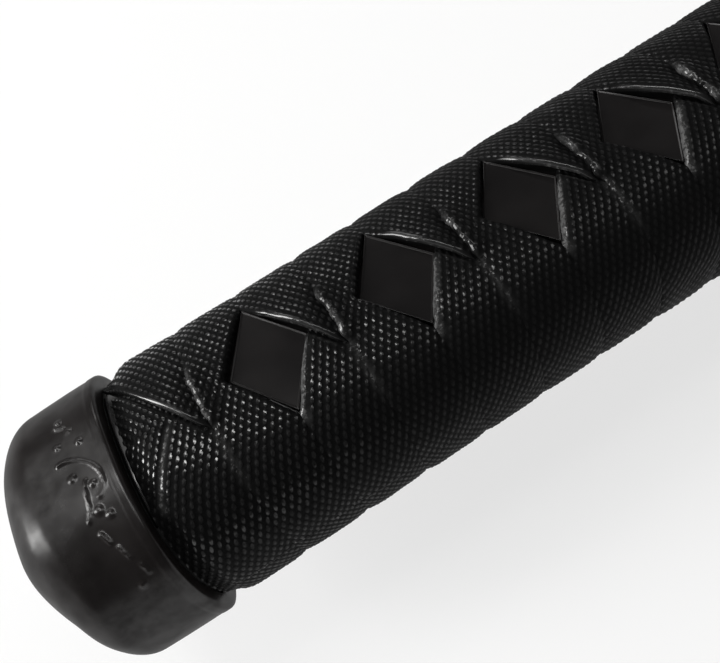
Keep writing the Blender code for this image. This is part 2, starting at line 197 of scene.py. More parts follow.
class Value:
    """A node socket that takes part in Python arithmetic."""

    def __init__(self, graph: Graph, socket: bpy.types.NodeSocket) -> None:
        """Wrap an output socket of a graph's node."""
        self.graph = graph
        self.socket = socket

    def __add__(self, other: Operand) -> Value:
        """Sum."""
        return self.graph.math("ADD", self, other)

    def __radd__(self, other: Operand) -> Value:
        """Sum with a number on the left."""
        return self.graph.math("ADD", other, self)

    def __sub__(self, other: Operand) -> Value:
        """Difference."""
        return self.graph.math("SUBTRACT", self, other)

    def __rsub__(self, other: Operand) -> Value:
        """Difference from a number."""
        return self.graph.math("SUBTRACT", other, self)

    def __mul__(self, other: Operand) -> Value:
        """Product."""
        return self.graph.math("MULTIPLY", self, other)

    def __rmul__(self, other: Operand) -> Value:
        """Product with a number on the left."""
        return self.graph.math("MULTIPLY", other, self)

    def __truediv__(self, other: Operand) -> Value:
        """Quotient."""
        return self.graph.math("DIVIDE", self, other)

    def at_least(self, other: Operand) -> Value:
        """The larger of two values."""
        return self.graph.math("MAXIMUM", self, other)

    def unsigned(self) -> Value:
        """The value without its sign."""
        return self.graph.math("ABSOLUTE", self)

    def offset_in_cell(self) -> Value:
        """Signed distance from the nearest whole number."""
        return self - self.graph.math("ROUND", self)

    def between(self, low: float, high: float) -> Value:
        """Run straight from low at 0 to high at 1."""
        return low + (high - low) * self

    def step(self, low: float, high: float) -> Value:
        """Ease from 0 at low to 1 at high.

        Args:
            low: Value at which it starts.
            high: Value at which it ends.

        Returns:
            The eased value.
        """
        settings = {"interpolation_type": "SMOOTHSTEP"}
        inputs = {"Value": self, "From Min": low, "From Max": high}
        return self.graph.value("ShaderNodeMapRange", settings, inputs)


Operand = Value | float


class Graph:
    """A node tree that is written as expressions."""

    def __init__(self, tree: bpy.types.NodeTree) -> None:
        """Write into a node tree."""
        self.tree = tree

    @classmethod
    def of_material(cls, name: str) -> tuple[bpy.types.Material, Graph, bpy.types.Node]:
        """Start a material.

        Args:
            name: Its name.

        Returns:
            The material, its graph and its Principled shader.
        """
        material = bpy.data.materials.new(name)
        material.use_nodes = True
        return material, cls(material.node_tree), material.node_tree.nodes["Principled BSDF"]

    def node(self, kind: str, settings: dict | None = None,
             inputs: dict | None = None) -> bpy.types.Node:
        """Add a node.

        Args:
            kind: The node's type name.
            settings: Properties to set first.
            inputs: Values or links of its sockets, by name or by number.

        Returns:
            The new node.
        """
        made = self.tree.nodes.new(kind)
        for name, setting in (settings or {}).items():
            setattr(made, name, setting)
        self.feed(made, inputs or {})
        return made

    def value(self, kind: str, settings: dict | None = None, inputs: dict | None = None,
              output: int | str = 0) -> Value:
        """Add a node and take one of its outputs.

        Args:
            kind: The node's type name.
            settings: Properties to set first.
            inputs: Values or links of its sockets.
            output: The output's name or number.

        Returns:
            The output as a value.
        """
        return Value(self, self.node(kind, settings, inputs).outputs[output])

    def feed(self, node: bpy.types.Node, inputs: dict) -> None:
        """Link values to a node's inputs, or set constants on them.

        Args:
            node: The node.
            inputs: Values or constants by the input's name or number.
        """
        for name, value in inputs.items():
            if isinstance(value, Value):
                self.tree.links.new(value.socket, node.inputs[name])
            else:
                node.inputs[name].default_value = value

    def math(self, operation: str, *operands: Operand) -> Value:
        """Add a Math node."""
        return self.value("ShaderNodeMath", {"operation": operation}, dict(enumerate(operands)))

    def mix(self, share: Operand, low: object, high: object) -> Value:
        """Mix two colours.

        Args:
            share: Part of the way from the first colour to the second.
            low: First colour or value.
            high: Second colour or value.

        Returns:
            The mixed colour.
        """
        return self.value("ShaderNodeMix", {"data_type": "RGBA"}, {0: share, 6: low, 7: high}, 2)

    def noise(self, place: Value, size: float, detail: float = 2.0, roughness: float = 0.5) -> Value:
        """Noise from 0 to 1.

        Args:
            place: Coordinates in metres.
            size: Size of its largest blots in metres.
            detail: Number of finer layers.
            roughness: Strength of the finer layers.

        Returns:
            The noise value.
        """
        inputs = {"Vector": place, "Scale": 1.0 / size, "Detail": detail, "Roughness": roughness}
        return self.value("ShaderNodeTexNoise", None, inputs, "Fac")

    def object_place(self) -> Value:
        """Coordinates on a piece, in metres."""
        return self.value("ShaderNodeTexCoord", None, None, "Object")

    def stretched(self, place: Value, stretch: Sequence[float]) -> Value:
        """Scale coordinates along each axis."""
        return self.value("ShaderNodeMapping", None, {"Vector": place, "Scale": tuple(stretch)})

    def attribute(self, field: Field) -> Value:
        """A number stored on the mesh, read in a material."""
        return self.value("ShaderNodeAttribute", {"attribute_name": field.value}, None, "Fac")

    def bump(self, height: Value, depth: float, under: Value | None = None) -> Value:
        """Normals of a height field.

        Args:
            height: Height from 0 to 1.
            depth: Depth in metres that a height of 1 stands for.
            under: Normals that this bump lies on.

        Returns:
            The bumped normal.
        """
        inputs = {"Height": height, "Distance": depth, "Strength": 1.0}
        if under is not None:
            inputs["Normal"] = under
        return self.value("ShaderNodeBump", None, inputs, "Normal")


class Field(Enum):
    """Numbers that a mesh carries for its material and its relief."""

    ALONG = "along_grip"
    AROUND = "around_grip"
    LEAN = "dot_lean"
    WEAVE = "weave"
    WEAR = "wear"
    OUTWARD = "outward"


@dataclass(frozen=True)
class Finish:
    """A satin black surface with blotches, fine grain and small scuffs."""

    name: str
    slot: str
    dark: Colour
    pale: Colour
    scuffed: Colour
    roughness: Pair
    specular: float = 0.25
    blotch_size: float = 9.0 * MM
    blotch_range: Pair = (0.30, 0.75)
    grain_size: float = 0.35 * MM
    grain_depth: float = 0.012 * MM
    scuff_size: float = 2.4 * MM
    scuff_start: float = 0.70
    scuff_softness: float = 0.08
    scuff_roughness: float = 0.15
    scuff_stretch: Triple = (1.0, 1.0, 1.0)
    coat: float = 0.0
    coat_patches: Pair = (0.25, 0.75)
    coat_range: Pair = (0.45, 1.55)
    coat_roughness: float = 0.2
    coat_index: float = 1.5

    def marks(self, graph: Graph, place: Value) -> Value:
        """Noise that scuffs are cut from."""
        stretched = graph.stretched(place, self.scuff_stretch)
        return graph.noise(stretched, self.scuff_size, detail=5.0, roughness=0.7)

    def wear(self, graph: Graph, place: Value) -> Value:
        """Scuffs from 0 to 1."""
        return self.marks(graph, place).step(self.scuff_start, self.scuff_start + self.scuff_softness)

    def material(self) -> bpy.types.Material:
        """Make the material.

        Returns:
            A new material.
        """
        material, graph, shader = Graph.of_material(self.name)
        place = graph.object_place()
        blotches = graph.noise(place, self.blotch_size, detail=4.0)
        grain = graph.noise(place, self.grain_size, detail=3.0)
        scuffs = self.wear(graph, place)
        colour = graph.mix(blotches.step(*self.blotch_range), self.dark, self.pale)
        graph.feed(shader, {
            "Base Color": graph.mix(scuffs, colour, self.scuffed),
            "Roughness": blotches.between(*self.roughness) + scuffs * self.scuff_roughness,
            "Normal": graph.bump(grain, self.grain_depth),
            "Specular IOR Level": self.specular,
            "Coat Roughness": self.coat_roughness,
            "Coat IOR": self.coat_index,
        })
        if self.coat:
            patches = graph.noise(place, self.blotch_size / 2, detail=5.0, roughness=0.65)
            share = patches.step(*self.coat_patches).between(*self.coat_range)
            graph.feed(shader, {"Coat Weight": self.coat * share})
        return material


@dataclass(frozen=True)
class WornFinish(Finish):
    """A finish whose scuffs also follow the mesh's own wear."""

    scuff_softness: float = 0.12
    wear_share: float = 0.45

    def wear(self, graph: Graph, place: Value) -> Value:
        """Scuffs from 0 to 1, strongest where the mesh is worn."""
        worn = self.marks(graph, place) + graph.attribute(Field.WEAR) * self.wear_share
        return worn.step(self.scuff_start, self.scuff_start + self.scuff_softness)


@dataclass(frozen=True)
class Weave:
    """Staggered dots of the woven tape."""

    pitch_along: Operand = 1.2 * MM
    pitch_around: Operand = 1.88 * MM
    dot_length: Operand = 0.57 * MM
    dot_width: Operand = 0.31 * MM
    relief: Operand = 0.14 * MM
    lean_angle: float = math.radians(30)

    def dots(self, graph: Graph, along: Value, around: Value, lean: Value) -> Value:
        """Height of the dots from 0 to 1, in a geometry tree or a material.

        Args:
            graph: Tree to write into.
            along: Distance along the grip.
            around: Distance round the grip.
            lean: Side that the dots lean to, from -1 to 1.

        Returns:
            The height.
        """
        straight, leaning = math.cos(self.lean_angle), math.sin(self.lean_angle) * lean

        def dome(shift: float) -> Value:
            """One of the two sets of dots.

            Args:
                shift: Part of a pitch that the set is moved by, along and round the grip.

            Returns:
                Height of its dots from 0 to 1.
            """
            across = (along / self.pitch_along + shift).offset_in_cell() * self.pitch_along
            round_way = (around / self.pitch_around + shift).offset_in_cell() * self.pitch_around
            length = (round_way * straight + across * leaning) / self.dot_length
            width = (across * straight - round_way * leaning) / self.dot_width
            return (1.0 - (length * length + width * width)).at_least(0.0)

        return dome(0.0).at_least(dome(0.5))


@dataclass(frozen=True)
class TapeFinish:
    """Black woven tape with polished dots and frayed, scuffed edges.

    A coat over the cloth gives the polish. It lies on the dots along the middle of the broad side,
    reaches further round beside the butt cap, and covers lips that are pressed smooth.
    """

    name: str = "woven_tape"
    slot: str = "grip_tape"
    # Colour of the hollows between the dots: painted shade, darker than the dots' tops.
    shaded_hollow: Colour = (0.0025, 0.0025, 0.0026, 1.0)
    thread: Colour = (0.0050, 0.0050, 0.0051, 1.0)
    thread_range: Pair = (0.1, 0.8)
    dusty: Colour = grey(0.024)
    scuffed: Colour = grey(0.087)
    hollow_roughness: float = 0.62
    thread_roughness: float = 0.40
    smoothed_range: Pair = (0.15, 0.9)
    smoothed_share: Pair = (0.55, 1.0)
    specular: float = 0.06
    fibre_size: float = 0.22 * MM
    fibre_depth: float = 0.03 * MM
    fibre_roughness: float = 0.08
    fray_size: float = 0.55 * MM
    fray_strength: float = 1.3
    fray_depth: float = 3.0
    rub_strength: float = 0.50
    worn_range: Pair = (0.96, 1.16)
    coat_roughness: float = 0.15
    coat_index: float = 1.62
    patch_size: float = 5.0 * MM
    patch_shine: Pair = (0.17, 0.72)
    dot_range: Pair = (0.30, 0.75)
    blot_size: float = 0.9 * MM
    blot_range: Pair = (0.38, 0.64)
    blot_shine: Pair = (0.30, 1.70)
    lip_range: Pair = (0.25, 0.9)
    lip_shine: float = 0.75
    worn_shine: float = 0.6
    dull_from: Pair = (7.0 * MM, 14.0 * MM)
    dulling: float = 0.88
    butt_polish: Pair = (30.0 * MM, 75.0 * MM)
    butt_shine: Pair = (0.75, 1.50)
    butt_reach: float = 7.0 * MM
    butt_sharpness: Pair = (1.0, 2.6)
    dot_sharpness: float = 0.035 * MM

    def material(self, weave: Weave) -> bpy.types.Material:
        """Make the material.

        Args:
            weave: The dots that its shine follows.

        Returns:
            A new material.
        """
        material, graph, shader = Graph.of_material(self.name)
        place = graph.object_place()
        along, around = graph.attribute(Field.ALONG), graph.attribute(Field.AROUND)
        dots = weave.dots(graph, along, around, graph.attribute(Field.LEAN))
        woven = graph.attribute(Field.WEAVE)
        dots = dots * woven
        fibres = graph.noise(place, self.fibre_size, detail=3.0, roughness=0.65)
        patches = graph.noise(place, self.patch_size, detail=3.0)
        frays = graph.noise(place, self.fray_size, detail=4.0, roughness=0.7)
        rubbed = graph.attribute(Field.WEAR)
        worn = (frays * self.fray_strength + rubbed * self.rub_strength).step(*self.worn_range)
        # The base colour is darker in the hollows between the dots than on their tops: painted shade of
        # the relief. Dotless smooth parts take the hollows' colour too.
        shaded_weave = graph.mix(dots.step(*self.thread_range), self.shaded_hollow, self.thread)
        colour = graph.mix(rubbed.step(0.0, 1.0), shaded_weave, self.dusty)
        graph.feed(shader, {"Base Color": graph.mix(worn, colour, self.scuffed)})
        smoothed = dots.step(*self.smoothed_range) * patches.between(*self.smoothed_share)
        roughness = smoothed.between(self.hollow_roughness, self.thread_roughness)
        graph.feed(shader, {"Roughness": roughness + fibres * self.fibre_roughness})
        lips = (1.0 - woven).step(*self.lip_range) * self.lip_shine
        near_butt = 1.0 - along.step(*self.butt_polish)
        blots = graph.noise(place, self.blot_size).step(*self.blot_range).between(*self.blot_shine)
        polished = dots.step(*self.dot_range) * patches.between(*self.patch_shine) * blots
        polished = polished * near_butt.between(*self.butt_shine)
        shine = polished.at_least(lips).at_least(worn * self.worn_shine)
        from_middle = around.unsigned() - near_butt * self.butt_reach
        held = 1.0 - self.dulling * from_middle.step(*self.dull_from)
        pressed = graph.bump(dots * near_butt.between(*self.butt_sharpness), self.dot_sharpness)
        rough = fibres + worn * frays * self.fray_depth
        graph.feed(shader, {
            "Coat Weight": shine * held,
            "Normal": graph.bump(rough, self.fibre_depth, pressed),
            "Specular IOR Level": self.specular,
            "Coat Roughness": self.coat_roughness,
            "Coat IOR": self.coat_index,
        })
        return material


class Oval:
    """A rounded oval in the YZ plane, walked by arc length from +Z towards -Y."""

    STEPS = 4000
    SLOPE_STEPS = 2000

    def __init__(self, half_width: float, half_height: float, squareness: float) -> None:
        """Measure the oval.

        Args:
            half_width: Half its extent along Y.
            half_height: Half its extent along Z.
            squareness: Power of the oval, where 2 is an ellipse.
        """
        angle = np.linspace(0.0, math.tau, self.STEPS + 1)
        sine, cosine = np.sin(angle), np.cos(angle)
        self.y = -half_width * np.sign(sine) * np.abs(sine) ** (2 / squareness)
        self.z = half_height * np.sign(cosine) * np.abs(cosine) ** (2 / squareness)
        steps = np.hypot(np.diff(self.y), np.diff(self.z))
        self.arcs = np.concatenate(([0.0], np.cumsum(steps)))
        self.length = float(self.arcs[-1])
        self.quarter = self.length / 4

    def on(self, arc: np.ndarray) -> tuple[np.ndarray, np.ndarray]:
        """Y and Z of points on the oval."""
        arc = np.mod(arc, self.length)
        return np.interp(arc, self.arcs, self.y), np.interp(arc, self.arcs, self.z)

    def place(self, x: np.ndarray, arc: np.ndarray, lift: np.ndarray,
              flipped: bool = False) -> np.ndarray:
        """Points raised off the oval along its normal.

        Args:
            x: Triple along the grip.
            arc: Distance round the oval.
            lift: Height above the oval.
            flipped: Whether to start on -Z instead.

        Returns:
            The points, in the last axis of the array.
        """
        x, arc, lift = np.broadcast_arrays(x, arc, lift)
        reach = self.length / self.SLOPE_STEPS
        back_y, back_z = self.on(arc - reach)
        fore_y, fore_z = self.on(arc + reach)
        run = np.hypot(fore_y - back_y, fore_z - back_z)
        y, z = self.on(arc)
        y = y + lift * (fore_z - back_z) / run
        z = z - lift * (fore_y - back_y) / run
        side = -1.0 if flipped else 1.0
        return np.stack((x, side * y, side * z), axis=-1)


class Piece:
    """Helpers that turn rings of points into finished pieces."""

    @staticmethod
    def loft(name: str, rings: np.ndarray, fields: dict[Field, np.ndarray] | None = None,
             sharp: float | None = None, endless: bool = False) -> bpy.types.Object:
        """Join equal rings into one closed body.

        Args:
            name: Name of the piece.
            rings: Points by ring, by place in the ring, and by axis.
            fields: Numbers or vectors for each point.
            sharp: Angle in degrees past which an edge stays sharp, or None for none.
            endless: Whether the last ring joins the first instead of being closed.

        Returns:
            The new object.
        """
        count, size, _ = rings.shape
        here = np.arange(count * size).reshape(count, size)
        beside = np.roll(here, -1, axis=1)
        if endless:
            here, beside = np.vstack((here, here[:1])), np.vstack((beside, beside[:1]))
        quads = np.stack((here[:-1], beside[:-1], beside[1:], here[1:]), axis=-1).reshape(-1, 4)
        faces = [tuple(face) for face in quads.tolist()]
        if not endless:
            faces.append(tuple(reversed(here[0].tolist())))
            faces.append(tuple(here[-1].tolist()))
        mesh = bpy.data.meshes.new(name)
        mesh.from_pydata(rings.reshape(-1, 3).tolist(), [], faces)
        for field, values in (fields or {}).items():
            kind, part = ("FLOAT_VECTOR", "vector") if field is Field.OUTWARD else ("FLOAT", "value")
            stored = mesh.attributes.new(field.value, kind, "POINT")
            stored.data.foreach_set(part, values.astype(np.float32).ravel())
        Piece.face_outwards(mesh)
        mesh.shade_smooth()
        if sharp is not None:
            mesh.set_sharp_from_angle(angle=math.radians(sharp))
        return Piece.link(name, mesh)

    @staticmethod
    def link(name: str, mesh: bpy.types.Mesh) -> bpy.types.Object:
        """Put a mesh into the scene as an object.

        Args:
            name: Name of the object.
            mesh: Its mesh.

        Returns:
            The new object.
        """
        made = bpy.data.objects.new(name, mesh)
        bpy.context.scene.collection.objects.link(made)
        return made

    @staticmethod
    def face_outwards(mesh: bpy.types.Mesh) -> None:
        """Turn every face of a closed mesh outwards.

        Args:
            mesh: The mesh.
        """
        form = bmesh.new()
        form.from_mesh(mesh)
        bmesh.ops.recalc_face_normals(form, faces=form.faces)
        form.to_mesh(mesh)
        form.free()

    @staticmethod
    def settle(piece: bpy.types.Object) -> None:
        """Turn a piece's modifiers into a plain mesh.

        Args:
            piece: The piece.
        """
        bpy.context.view_layer.update()
        graph = bpy.context.evaluated_depsgraph_get()
        mesh = bpy.data.meshes.new_from_object(piece.evaluated_get(graph))
        old, name = piece.data, piece.data.name
        piece.modifiers.clear()
        piece.data = mesh
        bpy.data.meshes.remove(old)
        mesh.name = name

    @staticmethod
    def join(piece: bpy.types.Object, slot: str, nodes: Iterable[str] = (),
             material: bpy.types.Material | None = None) -> None:
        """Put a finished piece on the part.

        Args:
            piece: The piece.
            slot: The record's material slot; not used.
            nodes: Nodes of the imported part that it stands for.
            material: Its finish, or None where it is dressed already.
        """
        if material is not None:
            piece.data.materials.append(material)
        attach(piece, BODY)
        if nodes:
            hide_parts(*nodes)
        LOG.info("%s: %d faces", piece.name, len(piece.data.polygons))


class ShapeTree:
    """A geometry node tree with named inputs, of which one is the finish."""

    def __init__(self, name: str, inputs: dict[str, str]) -> None:
        """Start the tree.

        Args:
            name: Its name.
            inputs: Socket types of its sizes and shapes, by their labels.
        """
        self.tree = bpy.data.node_groups.new(name, "GeometryNodeTree")
        self.graph = Graph(self.tree)
        self.sockets: dict[str, str] = {}
        kinds = {"Shape": "NodeSocketGeometry", **inputs, "Finish": "NodeSocketMaterial"}
        for label, kind in kinds.items():
            socket = self.tree.interface.new_socket(label, in_out="INPUT", socket_type=kind)
            self.sockets[label] = socket.identifier
        self.tree.interface.new_socket("Shape", in_out="OUTPUT", socket_type="NodeSocketGeometry")
        self.given = self.graph.node("NodeGroupInput")

    def take(self, label: str) -> Value:
        """An input of the tree."""
        return Value(self.graph, self.given.outputs[label])

    def close(self, shape: Value) -> None:
        """End the tree in one plain, finished mesh.

        Args:
            shape: What the tree has made.
        """
        whole = self.graph.value("GeometryNodeRealizeInstances", None, {"Geometry": shape})
        inputs = {"Geometry": whole, "Material": self.take("Finish")}
        dressed = self.graph.value("GeometryNodeSetMaterial", None, inputs)
        self.graph.node("NodeGroupOutput", None, {0: dressed})

    def apply(self, piece: bpy.types.Object, values: dict[str, object]) -> None:
        """Run the tree on a piece and keep the result as a plain mesh.

        Args:
            piece: The piece.
            values: The tree's inputs by their labels.
        """
        modifier = piece.modifiers.new(self.tree.name, "NODES")
        modifier.node_group = self.tree
        for label, value in values.items():
            modifier[self.sockets[label]] = value
        piece.update_tag()
        Piece.settle(piece)


class WovenRelief:
    """Geometry nodes that raise the woven dots off a tape."""

    SHARP_ANGLE = math.radians(62.0)

    def __init__(self, weave: Weave) -> None:
        """Build the tree.

        Args:
            weave: Sizes of the dots.
        """
        self.sizes = {"Pitch along": weave.pitch_along, "Pitch around": weave.pitch_around,
                      "Dot length": weave.dot_length, "Dot width": weave.dot_width,
                      "Relief": weave.relief}
        self.tree = ShapeTree("woven_relief", dict.fromkeys(self.sizes, "NodeSocketFloat"))
        graph = self.tree.graph

        def stored(field: Field, kind: str = "FLOAT") -> Value:
            """A number or vector stored on the tape."""
            inputs = {"Name": field.value}
            return graph.value("GeometryNodeInputNamedAttribute", {"data_type": kind}, inputs)

        *sizes, rise = (self.tree.take(label) for label in self.sizes)
        dots = Weave(*sizes).dots(graph, stored(Field.ALONG), stored(Field.AROUND), stored(Field.LEAN))
        height = dots * stored(Field.WEAVE) * rise
        outward = stored(Field.OUTWARD, "FLOAT_VECTOR")
        offset = graph.value("ShaderNodeVectorMath", {"operation": "SCALE"}, {0: outward, 3: height})
        inputs = {"Geometry": self.tree.take("Shape"), "Offset": offset}
        self.tree.close(graph.value("GeometryNodeSetPosition", None, inputs))

    def apply(self, tape: bpy.types.Object, material: bpy.types.Material) -> None:
        """Raise the dots on a tape and keep the result as a plain mesh.

        Args:
            tape: The tape.
            material: Its finish.
        """
        self.tree.apply(tape, {**self.sizes, "Finish": material})
        tape.data.shade_smooth()
        tape.data.set_sharp_from_angle(angle=self.SHARP_ANGLE)


@dataclass(frozen=True)
class Grip:
    """Oval core of the grip and the run of its two tapes."""

    half_width: float
    half_height: float
    start: float
    end: float
    first_crossing: float
    squareness: float = 2.5
    tape_width: float = 10.5 * MM
    half_window_length: float = 6.45 * MM
    half_window_height: float = 9.5 * MM
    window_count: int = 10
    tape_lift: float = 0.3 * MM
    wrap_top: float = 1.62 * MM

    @classmethod
    def from_frame(cls) -> Grip:
        """Read the grip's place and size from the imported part.

        Returns:
            The grip.
        """
        low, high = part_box("over_tape")
        crossing_from_rim = 12.8 * MM
        gap_to_rim = 0.15 * MM
        return cls(half_width=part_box("grip_core_upper")[1].y,
                   half_height=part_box("side_panel_upper")[1].z,
                   start=low.x + gap_to_rim, end=high.x,
                   first_crossing=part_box("butt_cap")[1].x + crossing_from_rim)

    @property
    def last_crossing(self) -> int:
        """Number of the last whole crossing."""
        return 2 * self.window_count

    def crossing(self, index: int) -> float:
        """Triple of a crossing along the grip."""
        return self.first_crossing + index * self.tape_width


class Lobe(Enum):
    """The four stretches of tape that meet at a crossing, as seen with the butt on the left."""

    UPPER_LEFT = "upper_left"
    LOWER_LEFT = "lower_left"
    UPPER_RIGHT = "upper_right"
    LOWER_RIGHT = "lower_right"

    @property
    def is_right(self) -> bool:
        """Whether the lobe lies on the guard's side of the crossing line."""
        return self in (Lobe.UPPER_RIGHT, Lobe.LOWER_RIGHT)


@dataclass
class Crossing:
    """Shape of the tapes round one crossing.

    Places are the distance a along the grip from the crossing line and the distance s round it from
    the middle of the broad side. The upper left lobe ends in a raised lip, which runs down along the
    window's edge and past it to a tip. The right lobes lap over it in a ridge along the crossing line,
    which runs on as a puckered crease. A roughness is given as its height and the size of its lumps, a
    run as where it starts and ends, and a dent or a mark as its depth or strength and its reach.
    """

    grip: Grip
    index: int
    grain: Grain
    gap: float = 0.004 * MM
    tip: float = 5.4 * MM
    tail: float = -0.8 * MM
    first_tail: float = -12.0 * MM
    tail_lap: float = 1.3 * MM
    tuck: float = 0.7 * MM
    tuck_run: Pair = (-7.0 * MM, -5.0 * MM)
    overhang: float = 0.35 * MM
    coarse_wobble: Pair = (0.09 * MM, 1.1 * MM)
    fine_wobble: Pair = (0.06 * MM, 0.4 * MM)
    ridge_wobble: float = 2.2
    lip_wobble: float = 0.5
    window_fade: float = 1.5 * MM
    crown: float = 0.30 * MM
    swell: Pair = (0.07 * MM, 3.1 * MM)
    edge_round: float = 0.75 * MM
    groove_depth: float = 0.05 * MM
    groove_reach: float = 0.45 * MM
    rim_drop: float = 1.15 * MM
    rim_reach: float = 2.2 * MM
    arch_rise: float = 0.95 * MM
    arch_reach: float = 3.6 * MM
    arch_start: Pair = (0.0, 0.95)
    arch_end: Pair = (1.22, 1.58)
    tip_drop: float = 1.1 * MM
    tip_run: Pair = (1.34, 1.60)
    lip_smooth: float = 0.85 * MM
    lip_smooth_run: Pair = (0.05, 0.5)
    lip_wear: Pair = (0.7, 0.28 * MM)
    lip_shade: Pair = (0.75 * MM, 0.55 * MM)
    lip_shade_end: Pair = (4.6 * MM, 6.2 * MM)
    shoulder_wear: Pair = (0.6, 0.35 * MM)
    shoulder_place: float = 0.55 * MM
    shoulder_run: Pair = (6.0 * MM, 4.0 * MM)
    ridge_rise: float = 1.0 * MM
    ridge_reach: float = 1.9 * MM
    ridge_start: Pair = (-6.5 * MM, -2.5 * MM)
    ridge_end: Pair = (3.4 * MM, 5.6 * MM)
    ridge_lumps: Pair = (0.16 * MM, 0.55 * MM)
    ridge_dent: Pair = (0.55 * MM, 1.5 * MM)
    ridge_smooth: Pair = (0.6, 0.9 * MM)
    ridge_wear: float = 0.8 * MM
    ridge_wear_mean: float = 0.75
    ridge_wear_lumps: Pair = (0.7, 1.6 * MM)
    crease_reach: float = 0.8 * MM
    crease_start: Pair = (4.2 * MM, 5.6 * MM)
    crease_end: Pair = (10.0 * MM, 17.0 * MM)
    crease_lumps: Pair = (0.30 * MM, 0.8 * MM)
    crease_wear: float = 0.55
    edge_wear: float = 1.2 * MM
    edge_wear_start: Pair = (0.0, 3.0 * MM)
    edge_wear_end: Pair = (0.5 * MM, 2.5 * MM)
    seam_dent: Pair = (0.28 * MM, 0.6 * MM)
    seam_start: Pair = (0.0, 2.0 * MM)
    seam_end: Pair = (8.0 * MM, 12.0 * MM)
    seam_wear: Pair = (0.8, 0.6 * MM)
    seam_wear_start: Pair = (0.5 * MM, 2.5 * MM)

    @property
    def x(self) -> float:
        """Triple of the crossing along the grip."""
        return self.grip.crossing(self.index)

    @property
    def flipped(self) -> bool:
        """Whether the crossing lies on the -Z side."""
        return self.index % 2 == 1

    @property
    def is_first(self) -> bool:
        """Whether this is the crossing beside the butt cap, where a seam stands for a window's edge."""
        return self.index == 0

    @property
    def lower_left_end(self) -> float:
        """Where the lower left lobe ends under the upper left one."""
        return self.first_tail if self.is_first else self.tail

    def rough(self, roughness: Pair, across: np.ndarray, along: np.ndarray) -> np.ndarray:
        """Heights of a roughness."""
        height, size = roughness
        return height * self.grain.at(across, along, size)

    def lip_place(self, s: np.ndarray) -> np.ndarray:
        """Triple along the lip: 0 at the window's top corner and 1 at its right corner."""
        return s / self.grip.half_window_height + 1.0

    def slit(self, s: np.ndarray) -> np.ndarray:
        """Line of the upper left lobe's lip."""
        return -self.grip.tape_width + self.grip.half_window_length * self.lip_place(s)

    def from_slit(self, a: np.ndarray, s: np.ndarray) -> np.ndarray:
        """Distance from the lip's line, square to it."""
        slope = self.grip.half_window_length / self.grip.half_window_height
        return (a - self.slit(s)) / math.hypot(1.0, slope)

    def ridge(self, s: np.ndarray) -> np.ndarray:
        """Strength of the ridge along the crossing line."""
        return smooth(*self.ridge_start, s) * (1.0 - smooth(*self.ridge_end, s))

    def crease(self, a: np.ndarray, s: np.ndarray) -> np.ndarray:
        """Strength of the puckered line that runs on from the ridge."""
        start, end = smooth(*self.crease_start, s), smooth(*self.crease_end, s)
        return bell(a, self.crease_reach) * start * (1.0 - end)

    def arch(self, s: np.ndarray) -> np.ndarray:
        """Strength of the raised lip."""
        place = self.lip_place(s)
        return smooth(*self.arch_start, place) * (1.0 - smooth(*self.arch_end, place))

    def window_inset(self, s: np.ndarray) -> np.ndarray:
        """How far a window cuts into the lobes beside it."""
        share = 1.0 - np.abs(s) / self.grip.half_window_height
        return self.grip.half_window_length * np.maximum(share, 0.0)

    def seam(self, a: np.ndarray, s: np.ndarray) -> np.ndarray:
        """Distance from the seam that stands for a window's edge beside the butt cap."""
        return a + self.grip.tape_width - self.window_inset(s)

    def edges(self, lobe: Lobe, s: np.ndarray) -> tuple[np.ndarray, np.ndarray]:
        """Both edges of a lobe.

        Args:
            lobe: The lobe.
            s: Distances round the grip.

        Returns:
            Left and right edges along the grip, from the crossing line.
        """
        grip = self.grip
        start, end = grip.start - self.x, grip.end - self.x
        outer = grip.tape_width - self.gap
        corner = grip.half_window_height
        wobble = self.rough(self.coarse_wobble, s, self.x) + self.rough(self.fine_wobble, s, self.x)
        at_window = smooth(corner, corner - self.window_fade, np.abs(s))
        if lobe.is_right:
            left = blend(self.gap, -self.overhang + self.ridge_wobble * wobble, self.ridge(s))
            right = outer - self.window_inset(s) + wobble * at_window
            if self.index == grip.last_crossing:
                right = np.full_like(s, end)
        elif lobe is Lobe.UPPER_LEFT:
            left = np.maximum(self.slit(s), -outer) + self.lip_wobble * wobble * at_window
            if self.is_first:
                left = self.slit(s)
            right = blend(-self.gap, self.tuck, smooth(*self.tuck_run, s))
        else:
            left = -outer + self.window_inset(np.maximum(s, 0.0)) + wobble * at_window
            past_middle = -outer + grip.half_window_length * (1 - s / corner)
            left = np.where(s < 0.0, past_middle, left)
            if self.is_first:
                left = np.full_like(s, start)
            right = np.minimum(-self.gap, self.slit(s) + self.tail_lap)
        if self.index < 0:
            left = np.full_like(s, start)
        if self.index > grip.last_crossing:
            right = np.full_like(s, end)
        return np.maximum(left, start), np.minimum(right, end)

